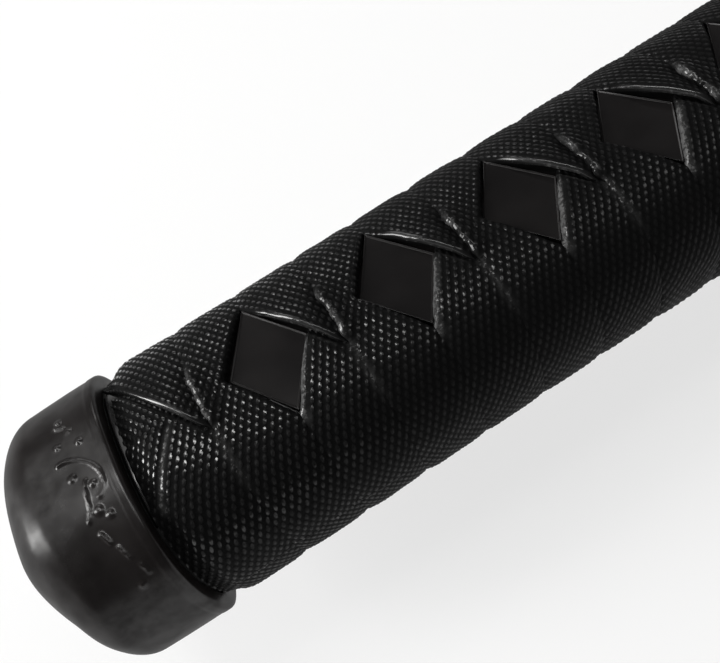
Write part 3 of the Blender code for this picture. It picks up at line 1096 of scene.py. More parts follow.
    def top(self, lobe: Lobe, a: np.ndarray, s: np.ndarray) -> np.ndarray:
        """Height of a lobe's top above the core.

        Args:
            lobe: The lobe.
            a: Distances along the grip from the crossing line.
            s: Distances round the grip.

        Returns:
            The heights, before the woven dots.
        """
        x = a + self.x
        width = self.grip.tape_width
        share = np.clip((a if lobe.is_right else a + width) / width, 0.0, 1.0)
        height = self.grip.wrap_top + self.crown * (1.0 - (2.0 * share - 1.0) ** 4)
        height = height + self.rough(self.swell, x, s)
        height = height - self.rim_drop * bell(x - self.grip.start, self.rim_reach)
        rise, size = self.crease_lumps
        height = height + rise * self.crease(a, s) * np.abs(self.grain.at(x, s, size))
        ridge = self.ridge(s)
        if lobe.is_right:
            lap = bell(np.maximum(a, 0.0), self.ridge_reach) * ridge
            return height + self.ridge_rise * lap + self.rough(self.ridge_lumps, a, s) * lap
        if lobe is Lobe.UPPER_LEFT:
            from_lip = np.maximum(self.from_slit(a, s), 0.0)
            height = height + self.arch_rise * self.arch(s) * bell(from_lip, self.arch_reach)
            depth, reach = self.ridge_dent
            height = height - depth * bell(a, reach) * ridge
            return height - self.tip_drop * smooth(*self.tip_run, self.lip_place(s))
        depth, reach = self.lip_shade
        below = np.maximum(-self.from_slit(a, s), 0.0)
        height = height - depth * bell(below, reach) * (1.0 - smooth(*self.lip_shade_end, s))
        if self.is_first:
            depth, reach = self.seam_dent
            from_seam = np.abs(self.seam(a, s)) * smooth(*self.seam_start, s)
            height = height - depth * bell(from_seam, reach) * (1 - smooth(*self.seam_end, s))
        return height

    def pressed_smooth(self, lobe: Lobe, a: np.ndarray, s: np.ndarray) -> np.ndarray:
        """Share from 0 to 1 of the weave that is pressed flat.

        Args:
            lobe: The lobe.
            a: Distances along the grip from the crossing line.
            s: Distances round the grip.

        Returns:
            The shares.
        """
        if lobe is Lobe.UPPER_LEFT:
            along_lip = smooth(*self.lip_smooth_run, self.lip_place(s))
            return bell(self.from_slit(a, s), self.lip_smooth) * along_lip
        if lobe is Lobe.LOWER_LEFT:
            return np.zeros_like(a)
        share, reach = self.ridge_smooth
        return share * bell(a, reach) * self.ridge(s)

    def worn(self, lobe: Lobe, a: np.ndarray, s: np.ndarray, left: np.ndarray) -> np.ndarray:
        """Wear of a lobe's surface from 0 to 1.

        Args:
            lobe: The lobe.
            a: Distances along the grip from the crossing line.
            s: Distances round the grip.
            left: The lobe's left edge.

        Returns:
            The wear.
        """
        creased = self.crease_wear * self.crease(a, s)
        if lobe.is_right:
            broken = self.ridge_wear_mean + self.rough(self.ridge_wear_lumps, s, self.x + a)
            edge = bell(a - left, self.ridge_wear) * self.ridge(s) * np.clip(broken, 0.0, 1.0)
            return np.maximum(edge, creased)
        if lobe is Lobe.UPPER_LEFT:
            strength, reach = self.lip_wear
            return strength * bell(self.from_slit(a, s), reach) * self.arch(s)
        if self.is_first:
            strength, reach = self.seam_wear
            edge = strength * bell(self.seam(a, s), reach) * smooth(*self.seam_wear_start, s)
        else:
            edge = bell(a - left, self.edge_wear) * smooth(*self.edge_wear_start, s)
        corner = self.grip.half_window_height
        fade_from, fade_to = self.edge_wear_end
        edge = edge * (1 - smooth(corner + fade_from, corner + fade_to, s))
        strength, reach = self.shoulder_wear
        from_shoulder = self.from_slit(a, s) + self.shoulder_place
        shoulder = bell(from_shoulder, reach) * smooth(*self.shoulder_run, s)
        return np.maximum(np.maximum(edge, strength * shoulder), creased)


@dataclass
class GripTape:
    """One of the two tapes, wound from the butt to the guard.

    The tape called over is the one whose lips lie on top. It is made in pieces, which part under
    crossings, and its rings have a few columns close to each edge and even ones between.
    """

    grip: Grip
    oval: Oval
    grain: Grain
    over: bool
    row_step: float = 0.28 * MM
    edge_columns: tuple[float, ...] = (0.0, 0.10 * MM, 0.25 * MM, 0.50 * MM)
    edge_room: float = 4.8
    middle_columns: int = 34
    least_width: float = 0.2 * MM
    wall_inset: float = 0.1 * MM
    lip_undercut: float = 0.8 * MM
    free_edge: Pair = (0.4 * MM, -0.8 * MM)
    sunk_top: float = 0.9 * MM
    sunk_step: float = 0.25 * MM
    wear_smoothing: float = 0.55
    lean_reach: float = 2.5 * MM
    lean_power: float = 0.4
    partings: tuple[int, int] = (7, 13)

    @property
    def name(self) -> str:
        """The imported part's node that this tape stands for."""
        return "over_tape" if self.over else "under_tape"

    def columns(self, width: np.ndarray) -> np.ndarray:
        """Distances of a ring's top points from its left edge.

        Args:
            width: Width of the tape at each ring.

        Returns:
            The distances by ring.
        """
        width = width[:, None]
        scale = np.minimum(1.0, width / (self.edge_room * self.edge_columns[-1]))
        edge = np.array(self.edge_columns)[None, :] * scale
        share = np.linspace(0.0, 1.0, self.middle_columns + 2)[None, 1:-1]
        inner = edge[:, -1:] + (width - 2 * edge[:, -1:]) * share
        return np.concatenate((edge, inner, width - edge[:, ::-1]), axis=1)

    def stretch(self, crossing: Crossing, lobe: Lobe, s: np.ndarray,
                top: float | None = None) -> Stretch:
        """Rings of a stretch of tape.

        Args:
            crossing: The crossing that it belongs to.
            lobe: Which of the crossing's lobes it is.
            s: Distances round the grip, one for each ring.
            top: Height of a sunken ring's top, or None for the lobe's own.

        Returns:
            Points by ring, and the numbers stored on them.
        """
        left, right = crossing.edges(lobe, s)
        width = np.maximum(right - left, self.least_width)
        from_left = self.columns(width)
        from_right = width[:, None] - from_left
        a = left[:, None] + from_left
        round_way = np.broadcast_to(s[:, None], a.shape)
        left_lip, right_lip = self.lips(crossing, lobe, s)
        lift = crossing.top(lobe, a, round_way)
        lift = lift - self.rounding(crossing, from_left, left_lip)
        lift = lift - self.rounding(crossing, from_right, right_lip)
        wear = crossing.worn(lobe, a, round_way, left[:, None])
        pressed = crossing.pressed_smooth(lobe, a, round_way)
        weave = 1.0 - np.maximum(self.wear_smoothing * wear, pressed)
        if top is not None:
            lift, weave = np.full_like(lift, top), np.zeros_like(weave)
        undercut = np.full_like(s, self.wall_inset)
        if lobe is Lobe.UPPER_LEFT:
            undercut = undercut + self.lip_undercut * crossing.arch(s)
        left_wall, right_wall = left + np.minimum(undercut, width / 3), right - self.wall_inset
        bottom = np.full_like(s, self.grip.tape_lift)
        left_middle, right_middle = (lift[:, 0] + bottom) / 2, (lift[:, -1] + bottom) / 2

        def closed(values: np.ndarray, *walls: np.ndarray) -> np.ndarray:
            """Rings of top values with those of their right and left walls."""
            return np.concatenate((values, np.stack(walls, axis=1)), axis=1)

        x = closed(a, right_wall, right_wall, left_wall, left_wall) + crossing.x
        lift = closed(lift, right_middle, bottom, bottom, left_middle)
        round_way = np.broadcast_to(s[:, None], x.shape)
        hidden = [np.zeros_like(s)] * 4
        turned = np.cos(np.clip(round_way / self.oval.quarter, -1, 1) * math.pi / 2)
        lean = -np.tanh(round_way / self.lean_reach) * turned ** self.lean_power
        points = self.oval.place(x, round_way, lift, crossing.flipped)
        outward = (self.oval.place(x, round_way, lift + MM, crossing.flipped) - points) / MM
        numbers = (x, round_way, lean, closed(weave, *hidden), closed(wear, *hidden))
        return points, np.concatenate((np.stack(numbers, axis=-1), outward), axis=-1)

    @staticmethod
    def rounding(crossing: Crossing, distance: np.ndarray, lip: np.ndarray) -> np.ndarray:
        """Drop of an edge at a distance from it.

        Args:
            crossing: The crossing, for its sizes.
            distance: Distances from the edge.
            lip: Share from 0 to 1 of a free, rounded edge. The rest lies against its neighbour.

        Returns:
            The drops.
        """
        radius = crossing.edge_round
        short = np.clip(radius - distance, 0.0, radius)
        free = radius - np.sqrt(np.maximum(radius * radius - short * short, 0.0))
        groove = crossing.groove_depth * bell(distance, crossing.groove_reach)
        return blend(groove, free, lip[:, None])

    def lips(self, crossing: Crossing, lobe: Lobe, s: np.ndarray) -> tuple[np.ndarray, np.ndarray]:
        """How far a lobe's left and right edges are free lips.

        Args:
            crossing: The crossing that it belongs to.
            lobe: The lobe.
            s: Distances round the grip.

        Returns:
            Shares from 0 to 1 of the left and of the right edge.
        """
        corner = self.grip.half_window_height
        at_window = smooth(corner + self.free_edge[0], corner + self.free_edge[1], np.abs(s))
        if lobe.is_right:
            return crossing.ridge(s), at_window
        return at_window, np.zeros_like(s)

    def rows(self, first: float, last: float) -> np.ndarray:
        """Evenly spaced distances round the grip."""
        return np.linspace(first, last, int(round(abs(last - first) / self.row_step)) + 1)

    def sunk(self, crossing: Crossing, lobe: Lobe, s: float) -> Stretch:
        """A single ring that dips under a crossing."""
        return self.stretch(crossing, lobe, np.array((s,)), self.sunk_top)

    def before(self, crossing: Crossing) -> list[Stretch]:
        """Stretches that lead to a crossing.

        Args:
            crossing: The crossing.

        Returns:
            The stretches, in their order along the tape.
        """
        quarter = self.oval.quarter
        if self.over:
            return [self.stretch(crossing, Lobe.UPPER_LEFT, self.rows(-quarter, crossing.tip))]
        tail = crossing.lower_left_end
        return [self.stretch(crossing, Lobe.LOWER_LEFT, self.rows(quarter, tail)),
                self.sunk(crossing, Lobe.LOWER_LEFT, tail - self.sunk_step)]

    def after(self, crossing: Crossing) -> list[Stretch]:
        """Stretches that lead away from a crossing.

        Args:
            crossing: The crossing.

        Returns:
            The stretches, in their order along the tape.
        """
        lobe, side = (Lobe.LOWER_RIGHT, 1.0) if self.over else (Lobe.UPPER_RIGHT, -1.0)
        rows = self.rows(crossing.tip, side * self.oval.quarter)[:-1]
        return [self.sunk(crossing, lobe, crossing.tip - side * self.sunk_step),
                self.stretch(crossing, lobe, rows)]

    def stretches(self, first: int, last: int) -> Stretch:
        """Rings of the tape from one crossing to another.

        Args:
            first: Number of the first crossing.
            last: Number of the last crossing.

        Returns:
            Points by ring, and the numbers stored on them.
        """
        made = []
        for index in range(first, last + 1):
            crossing = Crossing(self.grip, index, self.grain)
            if index > first:
                made += self.before(crossing)
            if index < last:
                made += self.after(crossing)
        points, fields = zip(*made)
        return np.concatenate(points), np.concatenate(fields)

    def build(self, relief: WovenRelief, material: bpy.types.Material, slot: str) -> None:
        """Make the tape in pieces that part under crossings.

        Args:
            relief: Woven dots of the tape.
            material: Its finish.
            slot: The record's material slot.
        """
        bounds = (-1, *self.partings, self.grip.last_crossing + 1)
        for label, first, last in zip(("rear", "middle", "front"), bounds, bounds[1:]):
            rings, stored = self.stretches(first, last)
            fields = {field: stored[..., i] for i, field in enumerate(Field)}
            fields[Field.OUTWARD] = stored[..., -3:]
            tape = Piece.loft(f"{self.name}_{label}", rings, fields)
            relief.apply(tape, material)
            Piece.join(tape, slot, (self.name,))


@dataclass
class ButtCap:
    """Cup over the butt end, with a worn scroll relief on both broad sides."""

    grip: Grip
    oval: Oval
    grain: Grain
    length: float
    rim_half_width: float
    taper: float = 0.3 * MM
    side_power: float = 1.6
    dome: float = 9.7 * MM
    flat_half_width: float = 7.0 * MM
    floor: float = 6.5 * MM
    bore_lift: float = 0.3 * MM
    band_width: float = 1.5 * MM
    band_softness: float = 0.12 * MM
    band_rise: float = 0.10 * MM
    rim_round: float = 0.5 * MM
    wave_rise: float = 0.05 * MM
    wave_size: float = 5.0 * MM
    relief: float = 0.32 * MM
    relief_wear: float = 0.8
    most_wear: float = 0.6
    knock: float = 1.2 * MM
    knocked_along: Pair = (8.0 * MM, 14.0 * MM)
    knocked_from: Pair = (4.0 * MM, 15.0 * MM)
    knocked_to: Pair = (23.0 * MM, 13.0 * MM)
    stations: int = 480
    ring_step: float = 0.24 * MM
    flat_steps: int = 24
    dome_steps: int = 200
    side_steps: int = 60
    face_steps: int = 6
    sharp: float = 60.0

    @classmethod
    def from_frame(cls, grip: Grip, oval: Oval, grain: Grain) -> ButtCap:
        """Take the cap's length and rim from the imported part.

        Args:
            grip: The grip that it closes.
            oval: Outline of the grip's core.
            grain: Field of its small irregularities.

        Returns:
            The cap.
        """
        low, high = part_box("butt_cap")
        return cls(grip, oval, grain, length=high.x - low.x, rim_half_width=high.y)

    @property
    def rim_lift(self) -> float:
        """Height of the rim above the core."""
        return self.rim_half_width - self.grip.half_width

    def outside(self) -> np.ndarray:
        """Profile of the outside from the flat's middle to the rim.

        Returns:
            Rows of place along the grip, scale towards the axis, and distance from the rim.
        """
        drawn_in = 1.0 - self.taper / self.rim_half_width
        first = math.asin(self.flat_half_width / (self.rim_half_width - self.taper))
        offset = self.dome * (1.0 - math.cos(first))
        angle = np.linspace(first, math.pi / 2, self.dome_steps)
        x = self.dome * (1.0 - np.maximum(np.cos(angle), 0.0)) - offset
        scale = drawn_in * np.sin(angle)
        flat = np.linspace(0.02, 0.98, self.flat_steps) * scale[0]
        side = np.linspace(0.0, 1.0, self.side_steps)[1:]
        along = np.concatenate((np.zeros_like(flat), x, blend(x[-1], self.length, side)))
        ease = 1.0 - (1.0 - side) ** self.side_power
        scales = np.concatenate((flat, scale, blend(drawn_in, 1.0, ease)))
        steps = np.hypot(np.diff(along), np.diff(scales) * self.rim_half_width)
        run = np.concatenate(([0.0], np.cumsum(steps)))
        even = np.linspace(0.0, run[-1], int(run[-1] / self.ring_step))
        rows = (np.interp(even, run, along), np.interp(even, run, scales), run[-1] - even)
        return np.stack(rows, axis=1)

    def strokes(self) -> list[tuple[np.ndarray, float]]:
        """Lines and beads of the scroll relief with their half widths, in millimetres.

        Returns:
            Points by distance from the rim and round the cap, and half widths.
        """
        def line(*points: Pair) -> np.ndarray:
            """A smooth line through a few points.

            Args:
                points: The points.

            Returns:
                Close points along the line.
            """
            given = np.array(points)
            share, fine = np.linspace(0, 1, len(given)), np.linspace(0, 1, 30)
            order = min(4, len(given) - 1)
            curves = [np.polyval(np.polyfit(share, given[:, i], order), fine) for i in (0, 1)]
            return np.stack(curves, axis=1)

        beads = ((6.0, 1.0, 0.55), (3.7, 3.2, 0.42), (4.3, 6.6, 0.55), (3.2, 7.7, 0.45),
                 (5.8, -8.3, 0.40), (4.7, -5.9, 0.45), (3.6, -3.4, 0.40), (6.6, -4.4, 0.38),
                 (4.4, 15.9, 0.40))
        curls = [(line((7.2, -1.8), (5.2, -1.3), (3.2, 0.4), (2.3, 2.5), (2.5, 4.2), (3.5, 5.1)), 0.26),
                 (line((4.5, 2.3), (5.0, 4.0), (5.2, 5.6), (6.0, 7.2)), 0.20),
                 (line((5.4, 9.1), (4.9, 10.4)), 0.24),
                 (line((4.3, 11.2), (3.8, 12.8)), 0.18),
                 (line((3.1, 13.9), (2.8, 15.1)), 0.16),
                 (line((6.4, -7.4), (5.2, -6.9)), 0.18)]
        return curls + [(np.array(((x, s),)), radius) for x, s, radius in beads]

    def scroll(self, from_rim: np.ndarray, arc: np.ndarray) -> np.ndarray:
        """Height of the relief from 0 to 1, worked out in millimetres.

        Args:
            from_rim: Distance from the rim along the outside.
            arc: Distance round the cap.

        Returns:
            The heights.
        """
        reach, softness = 1.5, 0.13
        patch_size, patch_mean, patch_spread, least_left = 2.6, 0.72, 0.5, 0.15
        half = self.oval.length / 2
        s = (np.mod(arc + half / 2, half) - half / 2) / MM
        place = np.stack(np.broadcast_arrays(from_rim / MM, s), axis=-1)
        height = np.zeros(place.shape[:-1])
        for points, half_width in self.strokes():
            low, high = points.min(axis=0) - reach, points.max(axis=0) + reach
            near = np.all((place > low) & (place < high), axis=-1)
            gaps = np.linalg.norm(place[near][:, None, :] - points[None], axis=-1).min(axis=1)
            raised = smooth(half_width + softness, half_width - softness, gaps)
            height[near] = np.maximum(height[near], raised)
        left = patch_mean + patch_spread * self.grain.at(place[..., 0], place[..., 1], patch_size)
        return height * np.clip(left, least_left, 1.0)

    def knocked(self, points: np.ndarray, x: np.ndarray) -> np.ndarray:
        """How far the flattened side of the dome is pushed in.

        Args:
            points: Points of the outside.
            x: Their places along the grip.

        Returns:
            Distances along the grip.
        """
        shallow, full = self.knocked_along
        on_dome = smooth(self.length - shallow, self.length - full, x)
        off_axis = -points[..., 1]
        share = smooth(*self.knocked_from, off_axis) * smooth(*self.knocked_to, off_axis)
        return self.knock * on_dome * share

    def build(self, finish: Finish) -> None:
        """Make the cap and dress it.

        Args:
            finish: Its worn plastic.
        """
        arc = np.arange(self.stations)[None, :] * self.oval.length / self.stations
        profile = self.outside()
        x, scale, from_rim = (profile[:, i, None] for i in range(3))
        relief = self.scroll(from_rim, arc)
        band_foot = self.band_width + self.band_softness
        band_top = self.band_width - self.band_softness
        band = smooth(band_foot, band_top, from_rim)
        edge = np.maximum(self.rim_round - from_rim, 0.0)
        edge = self.rim_round - np.sqrt(self.rim_round ** 2 - edge ** 2)
        mirrored = np.minimum(arc, self.oval.length - arc)
        waves = self.wave_rise * self.grain.at(from_rim, mirrored, self.wave_size)
        lift = self.rim_lift - self.band_rise + self.band_rise * band
        lift = lift + self.relief * relief - edge + waves
        points = self.oval.place(x, arc, lift)
        points[..., 1:] *= scale[..., None]
        points[..., 0] += self.knocked(points, x)
        steepness = np.hypot(*np.gradient(relief))
        wear = np.clip(steepness * self.relief_wear, 0.0, self.most_wear)
        face_lift = np.linspace(self.rim_lift - self.rim_round, self.bore_lift, self.face_steps)
        face_lift = face_lift[1:, None]
        face = self.oval.place(np.full_like(face_lift, self.length), arc, face_lift)
        bore = self.oval.place(np.array(((self.floor,),)), arc, np.array(((self.bore_lift,),)))
        rings = np.concatenate((points, face, bore))
        unworn = np.zeros((len(rings) - len(points), self.stations))
        cap = Piece.loft("domed_cap", rings, {Field.WEAR: np.concatenate((wear, unworn))}, self.sharp)
        Piece.join(cap, finish.slot, ("butt_cap",), finish.material())


@dataclass
class WindowPads:
    """Smooth diamonds of the side panels, one in each window, with a fine rim and holes for the pegs.

    The rim's section holds distances inside the pad's margin and shares of the rim's height.
    """

    grip: Grip
    oval: Oval
    peg_radius: float
    peg_places: Pair
    margin: float = 0.22 * MM
    shift: float = 0.18 * MM
    sunk: float = -0.25 * MM
    rise: float = 0.35 * MM
    rim: float = 0.14 * MM
    rim_section: tuple[Pair, ...] = ((0.0, 0.85), (0.04 * MM, 1.0), (0.10 * MM, 0.88),
                                     (0.20 * MM, 0.25), (0.28 * MM, 0.0), (0.34 * MM, 0.0))
    middle_radius: float = 0.15 * MM
    inner_shares: tuple[float, ...] = (0.25, 0.5, 0.75, 1.0)
    peg_clearance: float = 0.25 * MM
    corner_power: float = 1.02
    points: int = 64
    sharp: float = 50.0

    @classmethod
    def from_frame(cls, grip: Grip, oval: Oval) -> WindowPads:
        """Take the pegs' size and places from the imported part.

        Args:
            grip: The grip.
            oval: Outline of the grip's core.

        Returns:
            The pads.
        """
        boxes = [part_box(name) for name in ("front_peg", "rear_peg")]
        places = tuple((low.x + high.x) / 2 for low, high in boxes)
        return cls(grip, oval, peg_radius=(boxes[0][1].x - boxes[0][0].x) / 2, peg_places=places)

    @property
    def angles(self) -> np.ndarray:
        """Directions of the points of a ring."""
        return math.tau * np.arange(self.points) / self.points

    def circle(self, radius: float) -> np.ndarray:
        """Places along and round the grip of a circle, from the window's middle."""
        return radius * np.stack((np.cos(self.angles), np.sin(self.angles)))

    def diamond(self, inset: float) -> np.ndarray:
        """Places along and round the grip of a pad's outline, from the window's middle.

        Args:
            inset: Distance inside the window's own diamond.

        Returns:
            The places, by axis.
        """
        length, height = self.grip.half_window_length, self.grip.half_window_height
        share = 1.0 - inset * math.hypot(length, height) / (length * height)
        power = 2.0 / self.corner_power
        sine, cosine = np.sin(self.angles), np.cos(self.angles)
        return np.stack((share * length * np.sign(cosine) * np.abs(cosine) ** power,
                         share * height * np.sign(sine) * np.abs(sine) ** power))

    def pad(self, name: str, hole: float) -> bpy.types.Object:
        """One pad at the grip's start, to be copied along the grip.

        Args:
            name: Its name.
            hole: Radius of its hole, or 0 for none.

        Returns:
            The new object.
        """
        middle = self.circle(hole or self.middle_radius)
        rings = [(middle, self.sunk), (self.diamond(self.margin), self.sunk)]
        for inset, share in self.rim_section:
            rings.append((self.diamond(self.margin + inset), self.rise + share * self.rim))
        edge = rings[-1][0]
        rings += [(blend(edge, middle, share), self.rise) for share in self.inner_shares]
        shift = 0.0 if hole else self.shift
        points = []
        for (x, s), lift in rings:
            if lift > 0.0:
                lift = lift + (self.grip.half_height - self.oval.on(s)[1])
            points.append(self.oval.place(x + shift, s, lift))
        return Piece.loft(name, np.stack(points), None, self.sharp, endless=hole > 0.0)

    @staticmethod
    def tree() -> ShapeTree:
        """Geometry nodes that set a pad in every window.

        Returns:
            The tree.
        """
        tree = ShapeTree("window_pads", {
            "Pad": "NodeSocketObject", "Pegged pad": "NodeSocketObject", "Windows": "NodeSocketInt",
            "Pitch": "NodeSocketFloat", "First window": "NodeSocketFloat",
            "Front peg": "NodeSocketFloat", "Rear peg": "NodeSocketFloat"})
        graph = tree.graph

        def along(label: str) -> Value:
            """A size of the tree as a vector along the grip."""
            return graph.value("ShaderNodeCombineXYZ", None, {"X": tree.take(label)})

        line = graph.value("GeometryNodeMeshLine", None, {
            "Count": tree.take("Windows"), "Start Location": along("First window"),
            "Offset": along("Pitch")})
        position = graph.value("GeometryNodeInputPosition")
        place = graph.value("ShaderNodeSeparateXYZ", None, {0: position}, "X")
        gaps = [(place - tree.take(label)).unsigned() for label in ("Front peg", "Rear peg")]
        pegged = graph.math("LESS_THAN", graph.math("MINIMUM", *gaps), MM)
        joined = graph.node("GeometryNodeJoinGeometry")
        for label, chosen in (("Pad", 1.0 - pegged), ("Pegged pad", pegged)):
            source = {"Object": tree.take(label)}
            shape = graph.value("GeometryNodeObjectInfo", None, source, "Geometry")
            inputs = {"Points": line, "Selection": chosen, "Instance": shape}
            graph.feed(joined, {0: graph.value("GeometryNodeInstanceOnPoints", None, inputs)})
        tree.close(Value(graph, joined.outputs[0]))
        return tree

    def build(self, finish: Finish) -> None:
        """Set the pads of both broad sides.

        Args:
            finish: Their smooth plastic.
        """
        plain = self.pad("plain_pad", 0.0)
        pegged = self.pad("pegged_pad", self.peg_radius + self.peg_clearance)
        tree = self.tree()
        values = {"Pad": plain, "Pegged pad": pegged, "Pitch": 2 * self.grip.tape_width,
                  "Front peg": self.peg_places[0], "Rear peg": self.peg_places[1],
                  "Finish": finish.material()}
        count = self.grip.window_count
        for label, first, number in (("upper", 1, count), ("lower", 0, count + 1)):
            name = "window_pads_" + label
            pads = Piece.link(name, bpy.data.meshes.new(name))
            places = {"Windows": number, "First window": self.grip.crossing(first)}
            tree.apply(pads, {**values, **places})
            if label == "lower":
                self.turn_over(pads.data)
            Piece.join(pads, finish.slot)
        for shape in (plain, pegged):
            bpy.data.objects.remove(shape, do_unlink=True)

    @staticmethod
    def turn_over(mesh: bpy.types.Mesh) -> None:
        """Turn a mesh half round the grip's axis."""
        for vertex in mesh.vertices:
            vertex.co.y, vertex.co.z = -vertex.co.y, -vertex.co.z


@dataclass
class GuardFittings:
    """The guard, the washers on its two faces and the collar of the grip, all slotted for the tang."""

    oval: Oval
    core_half_width: float
    guard_squareness: float = 4.0
    rim_width: float = 4.5 * MM
    rim_rise: float = 1.0 * MM
    web_reach: float = 3.0 * MM
    slot_half_width: float = 10.3 * MM
    slot_half_height: float = 4.3 * MM
    slot_squareness: float = 12.0
    washer_squareness: float = 2.5
    bore_lift: float = 0.3 * MM
    collar_plate: float = 1.6 * MM
    edge_reach: float = 0.8 * MM
    stations: int = 240
    sharp: float = 40.0

    def ring(self, outline: Oval, x: float, lift: float) -> np.ndarray:
        """Points round an outline, raised off it."""
        arc = np.arange(self.stations) * outline.length / self.stations
        return outline.place(np.full_like(arc, x), arc, np.full_like(arc, lift))

    def plate(self, name: str, outline: Oval, profile: Sequence[Pair]) -> bpy.types.Object:
        """Make a slotted plate or collar.

        Args:
            name: Name of the piece.
            outline: Its outline.
            profile: Places along the grip and heights above the outline, from face to face.

        Returns:
            The new object.
        """
        tang_slot = Oval(self.slot_half_width, self.slot_half_height, self.slot_squareness)
        rounded, bends = fillet(profile, self.edge_reach)
        rings = [self.ring(tang_slot, profile[0][0], 0.0)]
        rings += [self.ring(outline, x, lift) for x, lift in rounded]
        rings += [self.ring(tang_slot, profile[-1][0], 0.0)]
        wear = np.repeat(np.concatenate(([0.0], bends, [0.0]))[:, None], self.stations, axis=1)
        return Piece.loft(name, np.stack(rings), {Field.WEAR: wear}, self.sharp, endless=True)

    def guard(self) -> bpy.types.Object:
        """The guard's plate, with a raised rim on both faces.

        Returns:
            The new object.
        """
        low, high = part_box("guard")
        rise = self.rim_rise
        rear, front = low.x + rise, high.x - rise
        rim_foot, rim_top = -self.rim_width, 2 * rise - self.rim_width
        half = [(rear, rim_foot - self.web_reach), (rear, rim_foot), (rear - rise, rim_top),
                (rear - rise, -rise), (rear, 0.0)]
        profile = half + [(rear + front - x, lift) for x, lift in reversed(half)]
        return self.plate("guard_plate", Oval(high.y, high.z, self.guard_squareness), profile)

    def washer(self, name: str, node: str) -> bpy.types.Object:
        """A flat washer in the place of a node.

        Args:
            name: Name of the piece.
            node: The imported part's node.

        Returns:
            The new object.
        """
        low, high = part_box(node)
        profile = [(low.x, -self.web_reach), (low.x, 0.0), (high.x, 0.0), (high.x, -self.web_reach)]
        return self.plate(name, Oval(high.y, high.z, self.washer_squareness), profile)

    def collar(self) -> bpy.types.Object:
        """The cup that ends the grip at the guard.

        Returns:
            The new object.
        """
        low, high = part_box("grip_collar")
        inside, top = high.x - self.collar_plate, high.y - self.core_half_width
        profile = [(inside, self.bore_lift - self.web_reach), (inside, self.bore_lift),
                   (low.x, self.bore_lift), (low.x, top), (high.x, top), (high.x, -self.web_reach)]
        return self.plate("grip_end_collar", self.oval, profile)

    def build(self, finish: Finish) -> None:
        """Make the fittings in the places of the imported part's own.

        Args:
            finish: Their coated metal.
        """
        material = finish.material()
        made = {"guard": self.guard(),
                "guard_washer_rear": self.washer("rear_washer", "guard_washer_rear"),
                "guard_washer_front": self.washer("front_washer", "guard_washer_front"),
                "grip_collar": self.collar()}
        for node, piece in made.items():
            Piece.join(piece, finish.slot, (node,), material)


